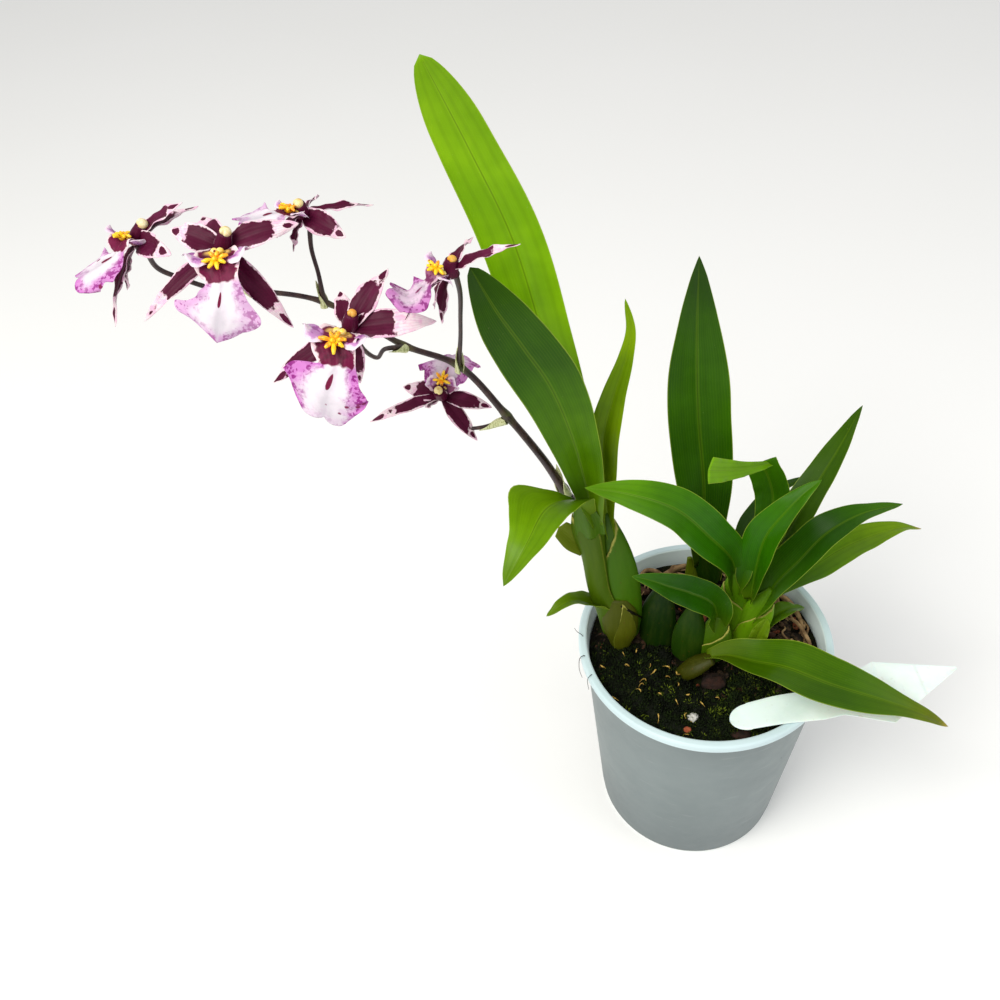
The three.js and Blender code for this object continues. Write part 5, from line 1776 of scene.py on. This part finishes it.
def shoot_shape(leaves=6, length=2.0):
    """A moss shoot: pointed leaflets that lean out from one foot, each a thin pyramid."""
    points, faces = [], []
    for k in range(leaves):
        a = k / leaves * 2 * np.pi + 0.3 * (k % 2)
        lean = 0.45 + 0.25 * (k % 3)
        out = np.array([np.cos(a), np.sin(a), 0])
        side = np.array([-np.sin(a), np.cos(a), 0])
        foot = out * 0.12
        tip = out * length * np.sin(lean) + np.array([0, 0, length * np.cos(lean)])
        belly = foot + (tip - foot) * 0.45
        start = len(points)
        under = belly + out * 0.2 - np.array([0, 0, 0.16])
        points += [foot, belly + side * 0.36, belly - side * 0.36, tip, under]
        corners = (0, 2, 1), (1, 2, 3), (0, 1, 4), (1, 3, 4), (3, 2, 4), (2, 0, 4)
        faces += [tuple(start + i for i in face) for face in corners]
    return shape_of("shoot", points, faces)


def capsule_shape():
    """A moss spore stalk, bent at the top, with its small capsule."""
    path = [(0, 0, 0), (0.3, 0, 1.8), (1.0, 0.2, 3.0), (2.0, 0.4, 3.1), (2.6, 0.3, 2.4)]
    points, faces, *_ = stem(path, (0.13, 0.12, 0.12, 0.34, 0.16), stations=9, sides=6)
    return shape_of("capsule", points, faces)


def patch(start, end, inner, outer, lift=0.0, over_moss=False, steps=40):
    """Ground between two angles and two radii."""
    a = np.radians(np.linspace(start, end, steps))[:, None]
    if over_moss:
        x, y, z = moss_height(a, np.linspace(inner, outer, 14)[None, :])
    else:
        r = np.linspace(inner, outer, 14)[None, :]
        x, y = r * np.cos(a), r * np.sin(a)
        z = bed_height(x, y)
    grid = np.stack(np.broadcast_arrays(x, y, z + lift), -1)
    index = np.arange(grid.shape[0] * grid.shape[1]).reshape(grid.shape[:2])
    return grid.reshape(-1, 3), quads(index[:, ::-1])


CHIP = chip_shape(np.random.default_rng(CHIP_SEED))
SHOOT = shoot_shape()
CAPSULE = capsule_shape()
print("shapes:", [len(shape.data.polygons) for shape in (CHIP, SHOOT, CAPSULE)], "faces")

# %% Strew them
FULL, DULL, LIVELY = (0.0, 1.0), (0.0, 0.9), (0.75, 1.0)
CHIPS = (CHIP, BARK, "mix")
SHOOTS = (SHOOT, MOSS_GREEN, "moss")
SPORES = (CAPSULE, DRY_STALK, "moss")
# Name, what is strewn, where, copies to a square metre, smallest and largest, tilt, shades and seed
STREWN = [
    ("bark_chips", CHIPS, patch(-38, 172, 6, 50, 0.4), 26000, (0.35, 0.95), 0.5, FULL, 3),
    ("bark_chips_front", CHIPS, patch(255, 325, 10, 46, 1.8), 12000, (0.3, 0.7), 0.5, FULL, 5),
    ("bark_crumbs", CHIPS, patch(0, 359, 4, 53, 0.5, steps=90), 110000, (0.08, 0.26), 0.9, FULL, 8),
    ("moss_shoots", SHOOTS, patch(173, 321, 0.03, 0.98, -0.5, True, 100), 640000, (0.6, 1.6), 0.8, FULL, 12),
    ("moss_bright", SHOOTS, patch(262, 319, 0.1, 0.95, -0.1, True), 260000, (0.7, 1.6), 0.8, LIVELY, 14),
    ("moss_back", SHOOTS, patch(20, 150, 24, 52, -0.2, steps=60), 110000, (0.5, 1.1), 0.7, DULL, 17),
    ("spore_stalks", SPORES, patch(176, 272, 0.1, 0.95, -0.3, True), 11000, (0.7, 1.3), 0.6, FULL, 21),
]
for name, (shape, finish, slot), (points, faces), density, sizes, tilt, shades, seed in STREWN:
    values = dict(Shape=shape, Density=float(density), Smallest=sizes[0], Largest=sizes[1], Tilt=tilt,
                  Dark=shades[0], Bright=shades[1], Seed=seed)
    piece = settle(grow(SCATTER, name, points, [], faces, finish, values), slot)
    count = len(piece.data.polygons)
    print(name + ":", count // len(shape.data.polygons), "copies,", count, "faces")

# %% [markdown]
# ### Roots
# Orchid roots wander over the bark, pale and dry where they are exposed. A few thick ones are placed point by
# point. Thin ones follow by rule, near the wall. A few dead root hairs hang over the rim. All are tubes,
# grown by the tree that grew the spike.

# %% Roots
ROOTS = [
    ([(-24, 46, 120), (-20, 49, 124), (-15, 48, 124.5), (-11, 45, 123), (-9, 42, 120)],
     (0.8, 1.0, 1.0, 0.9, 0.8)),
    ([(-12, 47, 121), (-8, 46, 125), (-3, 48, 125.5), (2, 50, 124), (4, 53, 120)],
     (0.9, 1.3, 1.3, 1.1, 0.9)),
    ([(40, 30, 119), (45, 24, 124), (48, 17, 125), (49.5, 9, 124), (50, 3, 121)],
     (0.8, 1.1, 1.1, 1.0, 0.8)),
    ([(44, 14, 120), (47, 8, 124), (49, 1, 124.5), (50, -6, 123.5), (48, -12, 120)],
     (0.7, 0.9, 0.9, 0.9, 0.7)),
    ([(12, 12, 120), (15, 10, 125), (17, 6, 126), (18, 1, 122)], (1.6, 2.0, 1.9, 1.4)),
    ([(-6, -26, 120), (0, -25, 123), (6, -27, 122.5), (12, -24, 120)], (0.5, 0.7, 0.6, 0.5)),
]


def wandering_root(start, end, rng):
    """A thin root between two angles near the wall, that dips in and out of the mix."""
    angles = np.radians(np.linspace(start, end, 6) + rng.uniform(-4, 4, 6))
    radii = rng.uniform(41, 53.5) + rng.uniform(-3.5, 1, 6)
    x, y = radii * np.cos(angles), radii * np.sin(angles)
    z = bed_height(x, y) + np.array([-1.5, 1.2, 2.2, 1.0, 2.0, -1.5]) + rng.uniform(-0.4, 0.8, 6)
    size = rng.uniform(0.3, 0.6)
    return list(zip(x, y, z)), (size, 1.15 * size, size, 0.8 * size)


rng = np.random.default_rng(ROOT_SEED)
for spot in rng.uniform(-25, 45, 16):
    ROOTS.append(wandering_root(spot - 14, spot + 14, rng))
for spot in rng.uniform(70, 135, 9):
    ROOTS.append(wandering_root(spot - 12, spot + 12, rng))
piece = settle(tubes("exposed_roots", ROOTS, ROOT_SKIN, sides=14), "mix")
print(len(ROOTS), "roots:", len(piece.data.polygons), "faces")

# %% Dead root hairs over the rim
HAIRS = [
    ([(-56, -4, 122), (-58.5, -5, 130.8), (-60.4, -6, 130.6), (-61.2, -9, 126), (-60.2, -12, 123)],
     (0.22, 0.2, 0.1)),
    ([(-55, 6, 122), (-58, 7, 131), (-60.2, 8, 132.5), (-61, 11, 131.5)], (0.2, 0.18, 0.1)),
    ([(-54, -14, 123), (-56.4, -16, 130.6), (-58.4, -18, 129.8), (-58.2, -21, 126)], (0.2, 0.16, 0.1)),
]
piece = settle(tubes("rim_hairs", HAIRS, SPIKE_SKIN, sides=6, tone="#16100a"), "mix")
print(len(HAIRS), "hairs:", len(piece.data.polygons), "faces")

# %% [markdown]
# ### Single bits
# One white grain of perlite, a red and a brown flake and a thick lump of bark lie at the front. They are seen
# one by one, so they aren't left to the scatter. Each is a ball, pressed flat, with waves and a little noise
# in its surface.


# %% Single bits
def lump(middle, size, rng, rows=10, sides=14):
    """A rough rounded grain."""
    points, faces, uv, tone, marks = ball(middle, 1.0, (0, 0, 1), (0, -1, 0), 1.0, rows=rows, sides=sides)
    shaped = (points - middle) * size
    bumps = 1 + 0.16 * np.sin(3.1 * shaped[:, :1] + 2 * shaped[:, 1:2])
    bumps = bumps + 0.05 * rng.normal(size=(len(points), 1))
    return middle + shaped * bumps, faces, uv, tone, marks


# Name, place, how high its middle stands over the bed, size and finish
BITS = [
    ("perlite_grain", (-13.5, -40.2), 3.6, (2.6, 2.2, 1.7), PERLITE),
    ("red_flake", (-16.8, -45.6), 2.6, (1.9, 1.5, 1.1), RED_CHIP),
    ("brown_flake", (6.2, -50.1), 2.6, (4.6, 2.2, 1.2), WARM_BARK),
    ("bark_lump", (-0.5, -23.5), 2.6, (5.8, 4.4, 1.8), WARM_BARK),
]
rng = np.random.default_rng(GRAIN_SEED)
for name, place, lift, size, finish in BITS:
    spot = np.array([*place, bed_height(*place) + lift])
    make_piece(name, [lump(spot, np.array(size), rng)], finish, "mix")
print("single bits:", [name for name, *_ in BITS])
